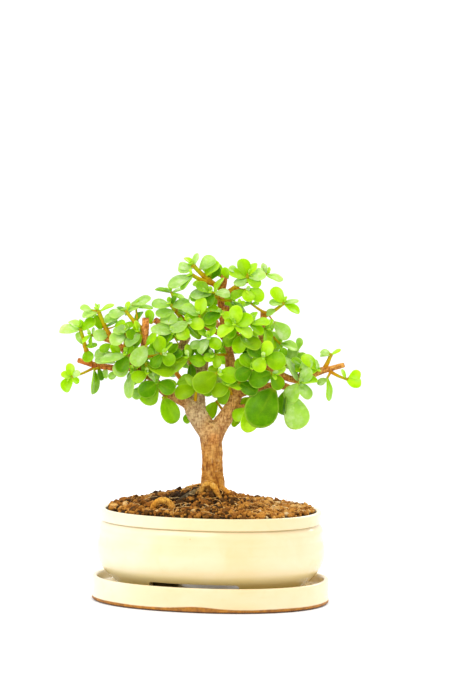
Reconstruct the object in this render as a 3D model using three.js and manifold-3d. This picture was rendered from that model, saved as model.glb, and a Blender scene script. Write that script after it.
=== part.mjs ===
// A dwarf jade bonsai (Portulacaria afra) in an oval glazed pot that stands in its drip tray.
// Millimetres, +Z up. The origin is the centre of the tray's flat underside and the tray's long axis is X.
//
// Pieces: drip tray, pot, two drainage meshes over the pot's drain holes, soil, the woody tree
// (roots, trunk and limbs, which grew as one) and its leafy shoots, each a young stem with its leaves.
import * as THREE from "three";
import { mergeVertices } from "three/addons/utils/BufferGeometryUtils.js";
import Module from "manifold-3d";

const wasm = await Module();
wasm.setup();

// ---------------------------------------------------------------- driving dimensions
const TRAY = { halfLength: 90.5, height: 18.5, floor: 10, wall: 4.2 };
const POT = { halfLength: 84.2, rimTop: 69.5, footHeight: 9.7, floorThickness: 5, rimThickness: 4.2 };
const OVAL_RATIO = 0.765; // half width over half length, of the tray and the pot
const OVAL_POWER = 2.15; // 2 is a true ellipse, more is squarer
const OVAL_SIDES = 36;
const DRAIN = { radius: 7, spacing: 56 };
const DRAIN_MESH = { size: 20, thickness: 1.2, hole: 7, pitch: 9 };
const FOOT_ARCH = 69; // width of the gap between the two feet, at the front and at the back
const SOIL = {
  edge: 69.2, heap: 3.2, crown: 14, left: 46, right: 23, deep: 26, // the mound's height and its reach
  rings: 8, crumb: 1.5, granules: 14,
};
const TREE_TURN = THREE.MathUtils.degToRad(13); // the tree's front is turned this far from the pot's
const TREE_LEAN = THREE.MathUtils.degToRad(0.8);
const GAP = 0.3; // running gap between neighbouring pieces
const STEM_SIDES = 4;
const CROWN_HEART = new THREE.Vector3(-2, 8, 172); // leaves turn their faces away from this point
const LIGHT_SHARES = new THREE.Vector3(0.45, 1.9, 0.5); // how much each axis counts in that turn

const POT_BASE = TRAY.floor;
const POT_UNDERSIDE = POT_BASE + POT.footHeight;
const POT_FLOOR = POT_UNDERSIDE + POT.floorThickness;

// ---------------------------------------------------------------- the tree's skeleton
// Roots, trunk and limbs: [x, y, z, radius] along each, in the tree's own frame, -Y to the front.
const LIMBS = {
  "trunk": [[0, 0, 50, 4], [0, 0, 64, 8], [0, 0, 80, 9.3], [0, 0, 89, 8.7], [-0.5, 0, 98, 8],
    [-0.7, 0, 110, 7.8], [-1.8, 0, 120, 8.1], [-2.8, 0, 129, 9.2], [-2.5, 0, 135, 7]],
  "left_fork": [[-1, 0, 114, 5], [-3.8, 0, 123, 6.8], [-8.6, 0, 133, 7.6], [-13.8, -1, 141, 7.4],
    [-17, -2, 148, 6.5], [-18, -2, 152, 4]],
  "left_limb": [[-14, -1, 145, 5], [-22, -3, 150, 4.6], [-30, -5, 153.5, 3.9], [-38, -8, 158, 3.5],
    [-46, -9, 166, 3.2], [-53, -8, 172, 3.1], [-60, -8, 175.5, 3], [-66, -8, 177, 2.8]],
  "left_rise": [[-60, -8, 175, 2.6], [-64, -8, 180, 2.6], [-68, -7, 187, 2.5], [-75, -5, 193, 2.4],
    [-82, -4, 195.5, 2.1], [-91, -3, 197.5, 1.7]],
  "left_reach": [[-61, -8, 175.5, 2.5], [-71, -5, 174, 2.5], [-80, -3, 174.5, 2.4], [-92, 0, 176, 2.3],
    [-104, 3, 179, 2]],
  "left_post": [[-57, -8, 174, 2.9], [-55.5, -11, 184, 2.8], [-53.8, -13, 194, 2.8], [-53.2, -14, 205, 2.8],
    [-53.2, -14, 213.5, 2.7]],
  "grey_limb": [[-12, 0, 143, 5.5], [-12.5, 1, 155, 5], [-14, 4, 166, 4], [-17, 7, 176, 3.5],
    [-21, 8, 184, 3.2], [-24, 8, 192, 3], [-24, 6, 202, 2.5], [-22, 4, 209, 2.3], [-21.5, 3, 214.5, 2.2]],
  "grey_knuckle": [[-30, 6, 188.5, 2.6], [-25, 8, 193, 3], [-21.5, 10, 198, 2.5]],
  "grey_side": [[-24, 7, 196, 2.5], [-33, 2, 203, 2.4], [-41, -5, 208, 2.4], [-46, -10, 211.5, 2.4]],
  "grey_inner": [[-13, 0, 149, 4.6], [-11, 2, 160, 4], [-9.5, 4, 170, 3.5], [-8.5, 5, 179, 3.1],
    [-7, 5, 189, 2.9], [-5.5, 4, 196, 2.5]],
  "right_fork": [[-0.5, 0, 114, 5], [0.6, 0, 123, 6.2], [3.8, 0, 132, 6.5], [8.5, -1, 139, 5.9],
    [12, -2, 146, 5.3], [15, -3, 153, 4.9], [16, -3, 159, 4.6], [15, -2, 166, 4],
    [12.5, -1, 174, 3.8], [11, 0, 182, 3.8], [9, 0, 190, 3.5], [8, 0, 198, 3.2]],
  "centre_left": [[8, 0, 196, 2.6], [3, -3, 202, 2.5], [-3, -6, 204.5, 2.2], [-10, -9, 208, 1.9]],
  "centre_right": [[8, 0, 196, 2.8], [12, -4, 201.5, 2.7], [17, -8, 206, 2.5], [20, -10, 208.5, 2.2]],
  "leader": [[8, 0, 195, 3.2], [6, 2, 206, 3], [4, 3, 216, 2.9], [2.8, 3, 225, 2.8], [3.2, 3, 233, 2.7],
    [4.6, 3, 240, 2.6], [5, 3, 246.5, 2.5]],
  "leader_spur": [[4, 3, 212, 2.4], [6.5, 0, 217, 2.5], [7, -1, 223, 2.4]],
  "right_limb": [[15, -2, 163, 3.8], [22, -5, 172, 3.4], [30, -7, 176.5, 3.2], [37, -7, 178, 3.1],
    [45, -6, 174.5, 2.9], [53, -5, 170.5, 2.7], [61, -3, 168.5, 2.5], [70, -1, 171, 2.5],
    [79, 0, 175.5, 2.9], [85, 0, 177, 2.2], [97, 1, 180.5, 2]],
  "right_post": [[34, -7, 176, 2.7], [36, -5, 186, 2.6], [35.5, -2, 195, 2.6], [33.5, 1, 204, 2.6],
    [35, 2, 212, 2.6], [35, 2, 219.5, 2.4]],
  "right_spur": [[61, -3, 168, 1.9], [65, 0, 174, 1.9], [68, 3, 180, 1.8]],
  "right_low": [[16, -3, 157, 4], [24, -4, 159.5, 3.4], [34, 0, 161.5, 3.1], [44, 3, 163, 2.9],
    [52, 4, 163, 2.8], [58, 4, 160, 2.5]],
  "right_twig": [[12, -2, 145, 3.2], [20, -5, 146.5, 2.6], [28, -8, 149.5, 2.2], [36, -11, 155.5, 1.8]],
  "back_left": [[-14, 0, 147, 4], [-19, 11, 157, 3.3], [-26, 21, 165, 2.6]],
  "back_right": [[15, -1, 160, 4], [19, 9, 166, 3.3], [25, 19, 172, 2.6]],
  "back_top": [[7, 1, 202, 2.8], [4, 9, 205, 2.5], [0, 16, 208, 2.2]],
  "back_low": [[2, 2, 128, 4.6], [7, 12, 138, 3.8], [11, 21, 147, 3], [12, 28, 154, 2.4]],
  "root_left": [[-4, -3, 84, 3.4], [-12, -8, 82.5, 2.6], [-19, -13, 79.5, 2.3], [-25, -18, 76, 2.1],
    [-30, -22, 70, 1.6]],
  "root_arch": [[-3, -3, 66, 3], [-16, -15, 64, 2.4], [-27, -27, 67, 2.3], [-29.5, -30, 73, 2.5],
    [-33.5, -31, 77.5, 2.6], [-39, -31, 78, 2.5], [-43.5, -30, 74.5, 2.2], [-46, -29, 67, 1.5]],
  "root_loop": [[-10, -8, 72, 1.6], [-9.5, -9.5, 80, 1.8], [-7.5, -9.8, 86, 2], [-3.5, -10, 89.5, 2.2],
    [0.5, -11, 87.5, 2.4], [3.5, -12.5, 83, 2.3], [6, -14.5, 77, 2], [8, -17, 70, 1.5]],
  "root_right": [[4, -3, 86, 3], [10, -6, 83.5, 2.3], [15.5, -8, 79.5, 1.9], [20, -10, 75, 1.6],
    [23, -11, 69, 1.3]],
  "root_back": [[0, 4, 87, 3], [3, 12, 84, 2.2], [6, 20, 79, 1.8], [8, 26, 72, 1.4]],
  "root_back_left": [[-4, 3, 86, 2.8], [-12, 5, 85, 2.2], [-20, 7, 82.5, 1.9], [-26, 9, 77, 1.6],
    [-29, 11, 70, 1.3]],
};
const THICK_LIMBS = ["trunk", "left_fork", "right_fork"];

// Leafy shoots. A shoot is one or more stems: the first leaves a limb, and any others leave that first
// stem. The first: [base x, y, z, tip x, y, z, radius, leaves]. The others hold the share of the first
// stem where they leave it in place of their base x, y, z.
// On the front and the sides the leaves are told one by one, each [share of the stem where it grows,
// heading, lean, length, roll]. The heading is where it points as seen from the front (0 right, 90 up),
// the lean is how far it points to the front, and the roll turns its face from the front (0) to up (90),
// all in degrees. On the back the leaves are in pairs all along, told as [length, pairs, first turn].
const SHOOTS = [
  [[45, 2, 162.6, 44.8, -11, 163, 1.9, [[1, 238, 8, 34, 4]]]],
  [[57, 3.5, 160.3, 56.5, -8, 157.5, 1.7, [[1, 288, 0, 27, 15]]]],
  [[-34, -6, 155.6, -39, -15, 153.8, 1.5, [[1, 298, 8, 21, 4]]]],
  [[-9.7, 3, 168, 2, -18, 174, 1.8, [[1, 215, 18, 22, 4], [0.72, 250, 5, 17, 22], [1, 352, 15, 16, 10]]]],
  [[-42, -8.5, 162, -43.5, -20, 166, 1.6,
    [[1, 216, 15, 16.5, 5], [0.9, 237, -12, 20, 10], [1, 335, 18, 15, 8], [1, 100, 0, 10, 49]]]],
  [[-54.5, -12, 189, -52, -23, 193.5, 1.4, [[1, 238, 22, 18, 2], [1, 55, 5, 12, 54]]]],
  [[37, -7, 178, 43, -18, 174, 1.5, [[1, 200, 12, 19, 5], [1, 30, 10, 11, 35], [0.85, 300, 5, 14, 25]]]],
  [[36, -5, 187, 35.5, -20, 187, 1.5,
    [[1, 245, 25, 13, 8], [1, 68, 15, 13, 22], [0.85, 345, 22, 18, 12], [0.85, 165, 15, 14, 25]]]],
  [[26, -6, 174.5, 27, -20, 178.5, 1.5,
    [[1, 215, 18, 15, 8], [1, 130, 10, 13, 35], [1, 60, 10, 12, 49]]],
    [0.15, 17, -16, 166, 1.4, [[1, 336, 15, 16, 25], [1, 150, 15, 13, 20]]]],
  [[13, -4, 156, 10, -17, 165, 1.4,
    [[1, 208, 18, 14.5, 15], [0.7, 235, -8, 14, 30], [1, 30, 10, 11, 54]]]],
  [[-15, -2, 149, -14, -16, 162.5, 1.5,
    [[1, 197, 15, 17, 12], [0.9, 155, -5, 14, 54], [1, 60, 20, 10, 49]]]],
  [[-52, -8, 171, -52, -19, 180, 1.4, [[1, 328, 15, 23, 49], [1, 120, 5, 12, 54]]]],
  [[-17, 6, 175, -21, -14, 185, 1.5,
    [[1, 212, 15, 20, 45], [1, 345, 10, 14, 30], [0.8, 95, 10, 12, 49], [0.6, 280, 10, 14, 49]]]],
  [[-54.5, -11, 184, -40, -20, 187.5, 1.3,
    [[1, 100, 18, 14, 12], [1, 235, 28, 13, 22], [0.9, 330, 20, 13, 18], [1, 50, -10, 12, 64]]]],
  [[-63, -8, 179, -67, -20, 186, 1.4,
    [[1, 188, 5, 20, 69], [1, 218, 28, 15, 12], [0.6, 235, 18, 16, 8], [1, 70, 15, 10, 35]]]],
  [[-58, -8, 174.7, -61.5, -17, 174.5, 1.4,
    [[1, 257, 5, 22, 59], [0.7, 250, -25, 14, 64], [1, 30, 10, 9, 49]]]],
  [[-50, -8.5, 169.5, -51, -20, 173, 1.4,
    [[1, 205, 18, 13, 10], [1, 218, -5, 15, 59], [0.9, 330, 20, 12, 35]]]],
  [[-69, -7, 188.5, -67.5, -16, 203, 1.4,
    [[1, 168, 10, 10, 49], [0.85, 208, 28, 14, 28], [1, 25, -15, 11, 59], [1, 90, 0, 7, 49]]]],
  [[-54, -14, 198, -57.5, -18, 203, 1.2,
    [[1, 224, 12, 15, 47], [0.8, 240, 38, 13, 8], [1, 110, 10, 10, 59]]]],
  [[-53.4, -13.5, 203, -68.5, -9, 218, 2,
    [[1, 190, 15, 13.5, 51], [1, 30, -12, 13.5, 55], [1, 80, 0, 8, 49], [1, 150, -30, 9, 64],
      [0.5, 240, 25, 13, 47], [0.5, 60, -25, 11, 59]]],
    [0.35, -61, -6, 221.5, 1.1, [[1, 36, 0, 14, 75], [1, 180, 0, 11, 69], [1, 100, 0, 7, 59]]]],
  [[-77, -4.5, 193.5, -89, -7, 217.5, 2.3,
    [[1, 28, 5, 13, 79], [1, 196, 5, 13, 62], [1, 176, -35, 14, 59], [0.55, 28, 20, 11, 74],
      [0.33, 192, 32, 13, 8], [1, 110, -10, 7, 69]]]],
  [[-89, -3.2, 197, -94, -9, 199.5, 1.1, [[1, 215, 10, 9, 67], [1, 265, 0, 9, 69], [0.8, 30, 20, 8, 64]]]],
  [[-94, 0, 177, -102.3, -4, 203.5, 2.1,
    [[1, 182, 5, 16.5, 61], [1, 158, -25, 12, 49], [1, 37, 10, 14.5, 45], [1, 75, -10, 8, 51],
      [0.42, 290, 54, 13, 0], [0.55, 25, 25, 10, 64]]]],
  [[-89, 0, 175.5, -108.5, -5, 166.8, 1.2,
    [[1, 107, 10, 10.5, 18], [1, 165, 20, 9, 28], [1, 240, -5, 13, 28], [1, 50, 30, 8, 32],
      [1, 315, 10, 7, 28]]]],
  [[-86, -1, 175.2, -91.5, -7, 173, 1.3, [[1, 271, 5, 19, 69], [0.35, 288, 10, 10, 54]]]],
  [[-22, 4, 209, -35, -4, 223.3, 2,
    [[1, 8, 15, 14.5, 51], [1, 176, 15, 15, 55], [0.72, 190, 30, 16, 57], [1, 70, 0, 8, 49],
      [0.45, 240, 24, 14, 47], [0.7, 350, -20, 12, 59]]],
    [0.47, -35, 6, 232.3, 1.2,
      [[1, 340, 8, 11, 69], [1, 20, -10, 10, 77], [1, 167, -5, 13, 82], [1, 110, 0, 7, 67]]]],
  [[-10, -9, 207.8, -13.5, -14, 217, 1.3,
    [[1, 78, 10, 14, 26], [1, 152, 12, 15, 47], [0.6, 165, -15, 13, 30], [0.5, 350, 20, 12, 22]]]],
  [[-23, 5, 205, -21, -14, 211.3, 1.6,
    [[1, 205, 15, 15.5, 49], [1, 350, 15, 12.5, 16], [0.75, 233, 10, 15, 54], [0.6, 318, 5, 14, 51],
      [1, 90, 10, 8, 49]]]],
  [[-33, 2, 203, -33, -15, 203.5, 1.4,
    [[1, 172, 18, 17, 55], [1, 350, 20, 14, 30], [1, 250, 20, 13, 49], [0.8, 95, 10, 12, 49]]]],
  [[2.6, 2.5, 226.5, -4, -9, 233.5, 1.5,
    [[1, 200, 15, 17, 59], [1, 186, 30, 16, 55], [1, 250, 32, 12, 22], [0.9, 224, -5, 13, 67],
      [0.8, 66, -12, 15, 74], [0.8, 15, 10, 9, 69]]],
    [0.35, 10.5, -8, 227.5, 1.3, [[1, 316, 8, 17, 61], [1, 40, 10, 10, 54]]]],
  [[3.4, 3, 235, -19, 0, 253, 2.5,
    [[1, 78, 0, 10, 57], [1, 200, 25, 13, 33], [0.62, 48, 10, 15.5, 50], [0.45, 60, -20, 13.5, 26],
      [1, 138, -20, 10, 59]]],
    [0.3, -19.5, -7, 246, 2.1, [[1, 201, 10, 20, 62], [1, 214, 25, 14, 70], [0.3, 190, 12, 11, 65]]]],
  [[3, 3, 230, 23, -3, 246, 2.4,
    [[1, 163, 15, 15, 47], [1, 112, 5, 14.5, 32], [1, 10, 10, 14, 45], [0.94, 198, 42, 13, 47],
      [0.94, 342, 38, 14, 47], [1, 48, -12, 12.5, 55], [0.22, 184, 25, 13, 65]]],
    [0.7, 36.5, 3, 247.5, 1.3, [[1, 348, 8, 14, 62], [1, 150, -10, 9, 67], [1, 100, -10, 9, 60]]],
    [0.5, 21.5, -10, 236, 1.4,
      [[1, 336, 10, 15.5, 30], [1, 298, 35, 13, 22], [1, 207, 22, 13, 45], [1, 280, 45, 9, 18]]]],
  [[17, -8, 206, 13.5, -21, 211, 1.8,
    [[1, 86, 15, 15, 22], [1, 42, 20, 15, 28], [1, 212, 22, 16, 45], [1, 243, 38, 14, 18],
      [1, 325, 22, 16, 54], [1, 10, 10, 8, 57], [1, 130, 20, 9, 30]]]],
  [[20, -9.5, 208.2, 26, -13, 211.5, 1.4,
    [[1, 8, 12, 15, 59], [0.8, 325, 20, 13, 47], [1, 65, -10, 10, 57], [1, 110, 10, 9, 49]]]],
  [[6.5, -0.5, 220.5, 3.5, -13, 219, 1.3,
    [[1, 212, 18, 16, 45], [1, 145, 5, 11, 57], [1, 330, 25, 12, 30]]]],
  [[13, -4.5, 202, 19, -15, 202.5, 1.5,
    [[1, 322, 22, 19, 49], [1, 262, 28, 15, 10], [0.75, 300, 0, 16, 28], [0.7, 210, 10, 14, 28]]]],
  [[-6, 4, 194, -6, -14, 200, 1.4,
    [[1, 243, 18, 14, 45], [1, 305, 28, 13, 18], [0.8, 212, -5, 15, 28], [0.6, 228, 28, 12, 51],
      [1, 60, 10, 10, 57], [1, 120, 10, 11, 54]]]],
  [[9, -2, 187, -1.5, -13, 187.5, 1.3, [[1, 280, 18, 11, 32], [1, 190, 20, 12, 30], [1, 60, 15, 11, 49]]]],
  [[34, 0.5, 203.5, 37.5, -9, 207, 1.2, [[1, 272, 28, 12, 51], [1, 200, 20, 11, 51], [1, 60, 0, 9, 59]]]],
  [[34.5, 2, 209.5, 48.5, 2, 195, 1.3,
    [[1, 345, 5, 14, 55], [0.25, 300, -8, 17, 22], [1, 60, -12, 9, 67], [0.6, 250, 10, 11, 54]]]],
  [[35, -1, 215.5, 50.5, -3, 226.5, 1.8,
    [[1, 122, 5, 14.5, 33], [1, 335, 5, 14, 54], [1, 175, 15, 11, 59], [1, 2, -10, 12, 71],
      [1, 85, 0, 6, 59]]],
    [0.25, 25, -8, 226, 1.3, [[1, 10, 0, 6, 59], [1, 100, 0, 6, 67], [1, 190, 0, 6, 67]]]],
  [[61, -3, 168.3, 63.5, -11, 167, 1.5,
    [[1, 308, 18, 14.5, 28], [1, 270, 12, 18, 30], [1, 12, 8, 14, 67], [1, 52, 15, 14, 32],
      [0.6, 118, 0, 21, 69]]]],
  [[77.5, -0.5, 175, 77, -9, 177.5, 1.4,
    [[1, 169, 8, 17, 45], [1, 196, 15, 15, 51], [1, 100, 0, 8, 69]]]],
  [[82, 0, 177.5, 86.8, -2, 189, 2, [[1, 184, -8, 8.5, 60], [1, 36, 8, 8.5, 67]]]],
  [[84.5, 0, 176.5, 99, -3, 170, 1.5, [[1, 343, 10, 12.5, 12], [1, 115, 5, 8, 64]]],
    [0.14, 84, -7, 171, 1.2, [[1, 279, 5, 18, 69]]]],
  [[23, -6.2, 147.8, 23.5, -13, 147, 1.3, [[1, 285, 0, 18.5, 20], [0.8, 240, -10, 13, 25]]]],
  [[8, 14.5, 140.8, 1, 14, 150, 1.3, [[1, 270, 0, 16, 8]]]],
  [[-47, -8, 167, -61, 20, 186, 1.7, [14, 4, 0]], [0.4, -44, 17, 181, 1.2, [14, 2, 30]]],
  [[45, -5, 174.5, 61, 19, 189, 1.7, [14, 4, 20]], [0.4, 43, 18, 187, 1.2, [14, 2, 0]]],
  [[-25, 20, 164, -44, 46, 189, 2, [15, 4, 20]], [0.35, -46, 27, 176, 1.3, [14, 2, 0]],
    [0.5, -25, 44, 188, 1.2, [14, 2, 30]]],
  [[24, 18, 171, 40, 46, 199, 2, [15, 4, 0]], [0.35, 46, 24, 184, 1.3, [14, 2, 30]],
    [0.5, 22, 44, 192, 1.2, [14, 2, 0]]],
  [[1, 15, 207.5, -8, 42, 227, 1.7, [14, 3, 0]], [0.35, -23, 29, 221, 1.1, [13, 2, 45]],
    [0.4, 15, 33, 221, 1.1, [13, 3, 20]]],
  [[11.5, 26, 152, 8, 52, 175, 1.9, [15, 3, 0]], [0.35, 26, 42, 165, 1.1, [14, 2, 45]],
    [0.4, -12, 44, 165, 1.1, [14, 2, 20]]],
];
const STEM_SAG = 0.1; // of the stem's length
const STEM_TAPER = 0.3;
const FIRST_LEAVES = 0.34; // share of a stem below its lowest pair of leaves
const LAST_LEAVES = 0.985;
const LEAF_HOLD = 0.9; // the least length of stem beyond a leaf's root
const YOUNG_SIZE = 0.68; // of the pair at a stem's tip, beside a full-grown leaf
const NEARLY_UP = new THREE.Vector3(0.1, 0.25, 1); // a turn of 0 points right, and 90 up or back
const SPREAD = 62; // degrees between a full-grown leaf and its stem
const TIP_SPREAD = 40;
const TURN_TO_LIGHT = { least: 0.35, spread: 0.5 }; // 0 keeps facing the stem's tip, 1 faces outwards
const DROOP = 0.16;
const LEAF = {
  width: 0.76, thickness: 0.13, cup: 0.05, recurve: 0.08, root: 0, bare: 0.16, middle: 0.42,
  outline: [[0.33, 0.68], [0.74, 1]], // [share of the length, share of the half width]
};
// Ways to bend a leaf clear of its neighbours, tried in this order: [swing, spread, size].
const BENDS = [
  [0, 0, 1], [16, 0, 1], [-16, 0, 1], [0, -16, 1], [0, 14, 1], [32, -8, 0.95], [-32, -8, 0.95],
  [0, -26, 0.85], [22, 16, 0.85], [-22, 16, 0.85], [48, 0, 0.8], [-48, 0, 0.8], [30, -22, 0.7],
  [-30, -22, 0.7],
];

// ---------------------------------------------------------------- helpers
const vec = (p) => new THREE.Vector3(p[0], p[1], p[2]);
const lerp = THREE.MathUtils.lerp;

// Repeatable random numbers from 0 to 1.
function dice(seed) {
  let state = seed;
  return () => {
    state = (state * 1664525 + 1013904223) % 4294967296;
    return state / 4294967296;
  };
}

// A closed three.js geometry as a manifold-3d solid, turned to face out.
function solid(geometry) {
  const bare = geometry.index ? geometry.toNonIndexed() : geometry.clone();
  bare.deleteAttribute("normal");
  bare.deleteAttribute("uv");
  const merged = mergeVertices(bare, 1e-4);
  const triVerts = new Uint32Array(merged.index.array);
  const vertProperties = new Float32Array(merged.attributes.position.array);
  const made = new wasm.Manifold(new wasm.Mesh({ numProp: 3, vertProperties, triVerts }));
  if (made.volume() > 0) return made;
  for (let i = 0; i < triVerts.length; i += 3) {
    [triVerts[i + 1], triVerts[i + 2]] = [triVerts[i + 2], triVerts[i + 1]];
  }
  return new wasm.Manifold(new wasm.Mesh({ numProp: 3, vertProperties, triVerts }));
}

function geometryOf(made) {
  const data = made.getMesh();
  const positions = new Float32Array(data.numVert * 3);
  for (let i = 0; i < data.numVert; i++) {
    positions.set(data.vertProperties.subarray(i * data.numProp, i * data.numProp + 3), i * 3);
  }
  const geometry = new THREE.BufferGeometry();
  geometry.setAttribute("position", new THREE.BufferAttribute(positions, 3));
  geometry.setIndex(new THREE.BufferAttribute(new Uint32Array(data.triVerts), 1));
  geometry.computeVertexNormals();
  return geometry;
}

const largest = (made) => made.decompose().reduce((a, b) => (a.volume() > b.volume() ? a : b));

function facets(points, faces) {
  const geometry = new THREE.BufferGeometry();
  geometry.setAttribute("position", new THREE.Float32BufferAttribute(points.flatMap((p) => p.toArray()), 3));
  geometry.setIndex(faces.flat());
  return geometry;
}

const finish = (color, roughness) => new THREE.MeshStandardMaterial({ color, roughness, metalness: 0 });
const GLAZE = finish(0xf6f0d2, 0.22);
const EARTH = finish(0x7a4a24, 0.95);
const BARK = finish(0xa9764a, 0.85);
const LEAF_GREEN = finish(0x76b82a, 0.35);
const PLASTIC = finish(0x2c2c2c, 0.6);

function mesh(name, made, material) {
  const made3 = new THREE.Mesh(geometryOf(made), material);
  made3.name = name;
  return made3;
}

// ---------------------------------------------------------------- tray and pot
// A lathe profile of [half length, height] points, turned and then pressed to the oval plan.
function ovalTurned(profile) {
  const turned = new THREE.LatheGeometry(profile.map((p) => new THREE.Vector2(p[0], p[1])), OVAL_SIDES);
  turned.rotateX(Math.PI / 2);
  const at = turned.attributes.position;
  for (let i = 0; i < at.count; i++) {
    const radius = Math.hypot(at.getX(i), at.getY(i));
    const spot = ovalSpot(Math.atan2(at.getY(i), at.getX(i)), radius);
    at.setXY(i, spot.x, spot.y);
  }
  return solid(turned);
}

function ovalSpot(angle, halfLength) {
  const press = (v) => Math.sign(v) * Math.abs(v) ** (2 / OVAL_POWER);
  const x = press(Math.cos(angle));
  const y = press(Math.sin(angle));
  return new THREE.Vector2(x * halfLength, y * halfLength * OVAL_RATIO);
}

function boxSolid(width, depth, height, x, y, z) {
  return solid(new THREE.BoxGeometry(width, depth, height).translate(x, y, z + height / 2));
}

function makeTray() {
  const a = TRAY.halfLength;
  const inner = a - TRAY.wall;
  return ovalTurned([
    [0, 0], [a - 1.4, 0], [a - 0.2, 1.2], [a - 0.7, 9], [a - 0.3, TRAY.height - 2.2],
    [a - 1.3, TRAY.height - 0.3], [inner + 0.9, TRAY.height - 0.3],
    [inner - 0.2, TRAY.height - 2], [inner - 1.4, TRAY.floor + 2], [inner - 4, TRAY.floor], [0, TRAY.floor],
  ]);
}

function makePot() {
  const a = POT.halfLength;
  const top = POT.rimTop;
  const mouth = a - POT.rimThickness;
  const body = ovalTurned([
    [0, POT_BASE], [a - 15.5, POT_BASE], [a - 14.2, 12.4], [a - 11.5, 15], [a - 4.5, 21],
    [a - 0.6, 26], [a + 2.4, 33], [a + 3.1, 41], [a + 1.6, 49.5], [a + 1.2, 54.5], [a - 1, 57.8],
    [a - 1.4, 59.4], [a, 60.8], [a, top - 1.4], [a - 1.1, top - 0.1],
    [mouth + 0.7, top - 0.2], [mouth, top - 1.8], [mouth, 57], [mouth + 1.4, 40], [mouth - 3, 28],
    [mouth - 11.5, POT_FLOOR], [0, POT_FLOOR],
  ]);
  const footRing = a - 15.5 - 6;
  const recess = ovalTurned([
    [0, POT_BASE - 1], [footRing, POT_BASE - 1], [footRing, POT_UNDERSIDE], [0, POT_UNDERSIDE],
  ]);
  const archHeight = POT.footHeight + 1;
  const cuts = [
    recess,
    boxSolid(FOOT_ARCH, 2 * a, archHeight, 0, 0, POT_BASE - 1),
    ...[-1, 1].map((side) => {
      const drain = new THREE.CylinderGeometry(DRAIN.radius, DRAIN.radius, 12, 12);
      return solid(drain.rotateX(Math.PI / 2).translate((side * DRAIN.spacing) / 2, 0, POT_UNDERSIDE + 2));
    }),
  ];
  return wasm.Manifold.difference([body, ...cuts]);
}

// ---------------------------------------------------------------- tubes
// A closed tube along [x, y, z, radius] points. Ridges make its section gently lobed, as old bark is.
function tube(stops, sides, ridges = 0, grow = 0) {
  const path = new THREE.CatmullRomCurve3(stops.map(vec), false, "catmullrom", 0.5);
  const steps = Math.max(2, Math.round(path.getLength() / (sides > 8 ? 10 : 16)));
  const frames = path.computeFrenetFrames(steps, false);
  const points = [];
  for (let i = 0; i <= steps; i++) {
    const along = path.getUtoTmapping(i / steps);
    const stop = along * (stops.length - 1);
    const low = Math.min(Math.floor(stop), stops.length - 2);
    const radius = lerp(stops[low][3], stops[low + 1][3], stop - low) + grow;
    const centre = path.getPoint(along);
    for (let k = 0; k < sides; k++) {
      const angle = (k / sides) * 2 * Math.PI;
      const lobe = 1 + ridges * Math.cos(3 * angle + i * 0.5);
      points.push(centre.clone()
        .addScaledVector(frames.normals[i], Math.cos(angle) * radius * lobe)
        .addScaledVector(frames.binormals[i], Math.sin(angle) * radius * lobe));
    }
  }
  return solid(facets(points, tubeFaces(steps, sides)));
}

function tubeFaces(steps, sides) {
  const faces = [];
  for (let i = 0; i < steps; i++) {
    for (let k = 0; k < sides; k++) {
      const a = i * sides + k;
      const b = i * sides + ((k + 1) % sides);
      faces.push([a, b, b + sides], [a, b + sides, a + sides]);
    }
  }
  for (let k = 1; k < sides - 1; k++) {
    faces.push([0, k + 1, k], [steps * sides, steps * sides + k, steps * sides + k + 1]);
  }
  return faces;
}

function makeWood(grow = 0) {
  return wasm.Manifold.union(Object.entries(LIMBS).map(([name, stops]) => {
    const thick = THICK_LIMBS.includes(name);
    return tube(stops, thick ? 10 : 5, thick ? 0.05 : 0, grow);
  }));
}

// ---------------------------------------------------------------- soil
// Height of the soil over (x, y) of the pot: a mound round the trunk that reaches further on the left.
function mound(x, y) {
  const away = Math.hypot(x / (x < 0 ? SOIL.left : SOIL.right), y / SOIL.deep);
  const edge = Math.min(1, Math.hypot(x / POT.halfLength, y / (POT.halfLength * OVAL_RATIO)) + 0.05);
  return SOIL.edge + SOIL.heap * (1 - edge ** 8) + SOIL.crown * Math.exp(-(away ** 1.5)) * (1 - edge ** 4);
}

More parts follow.
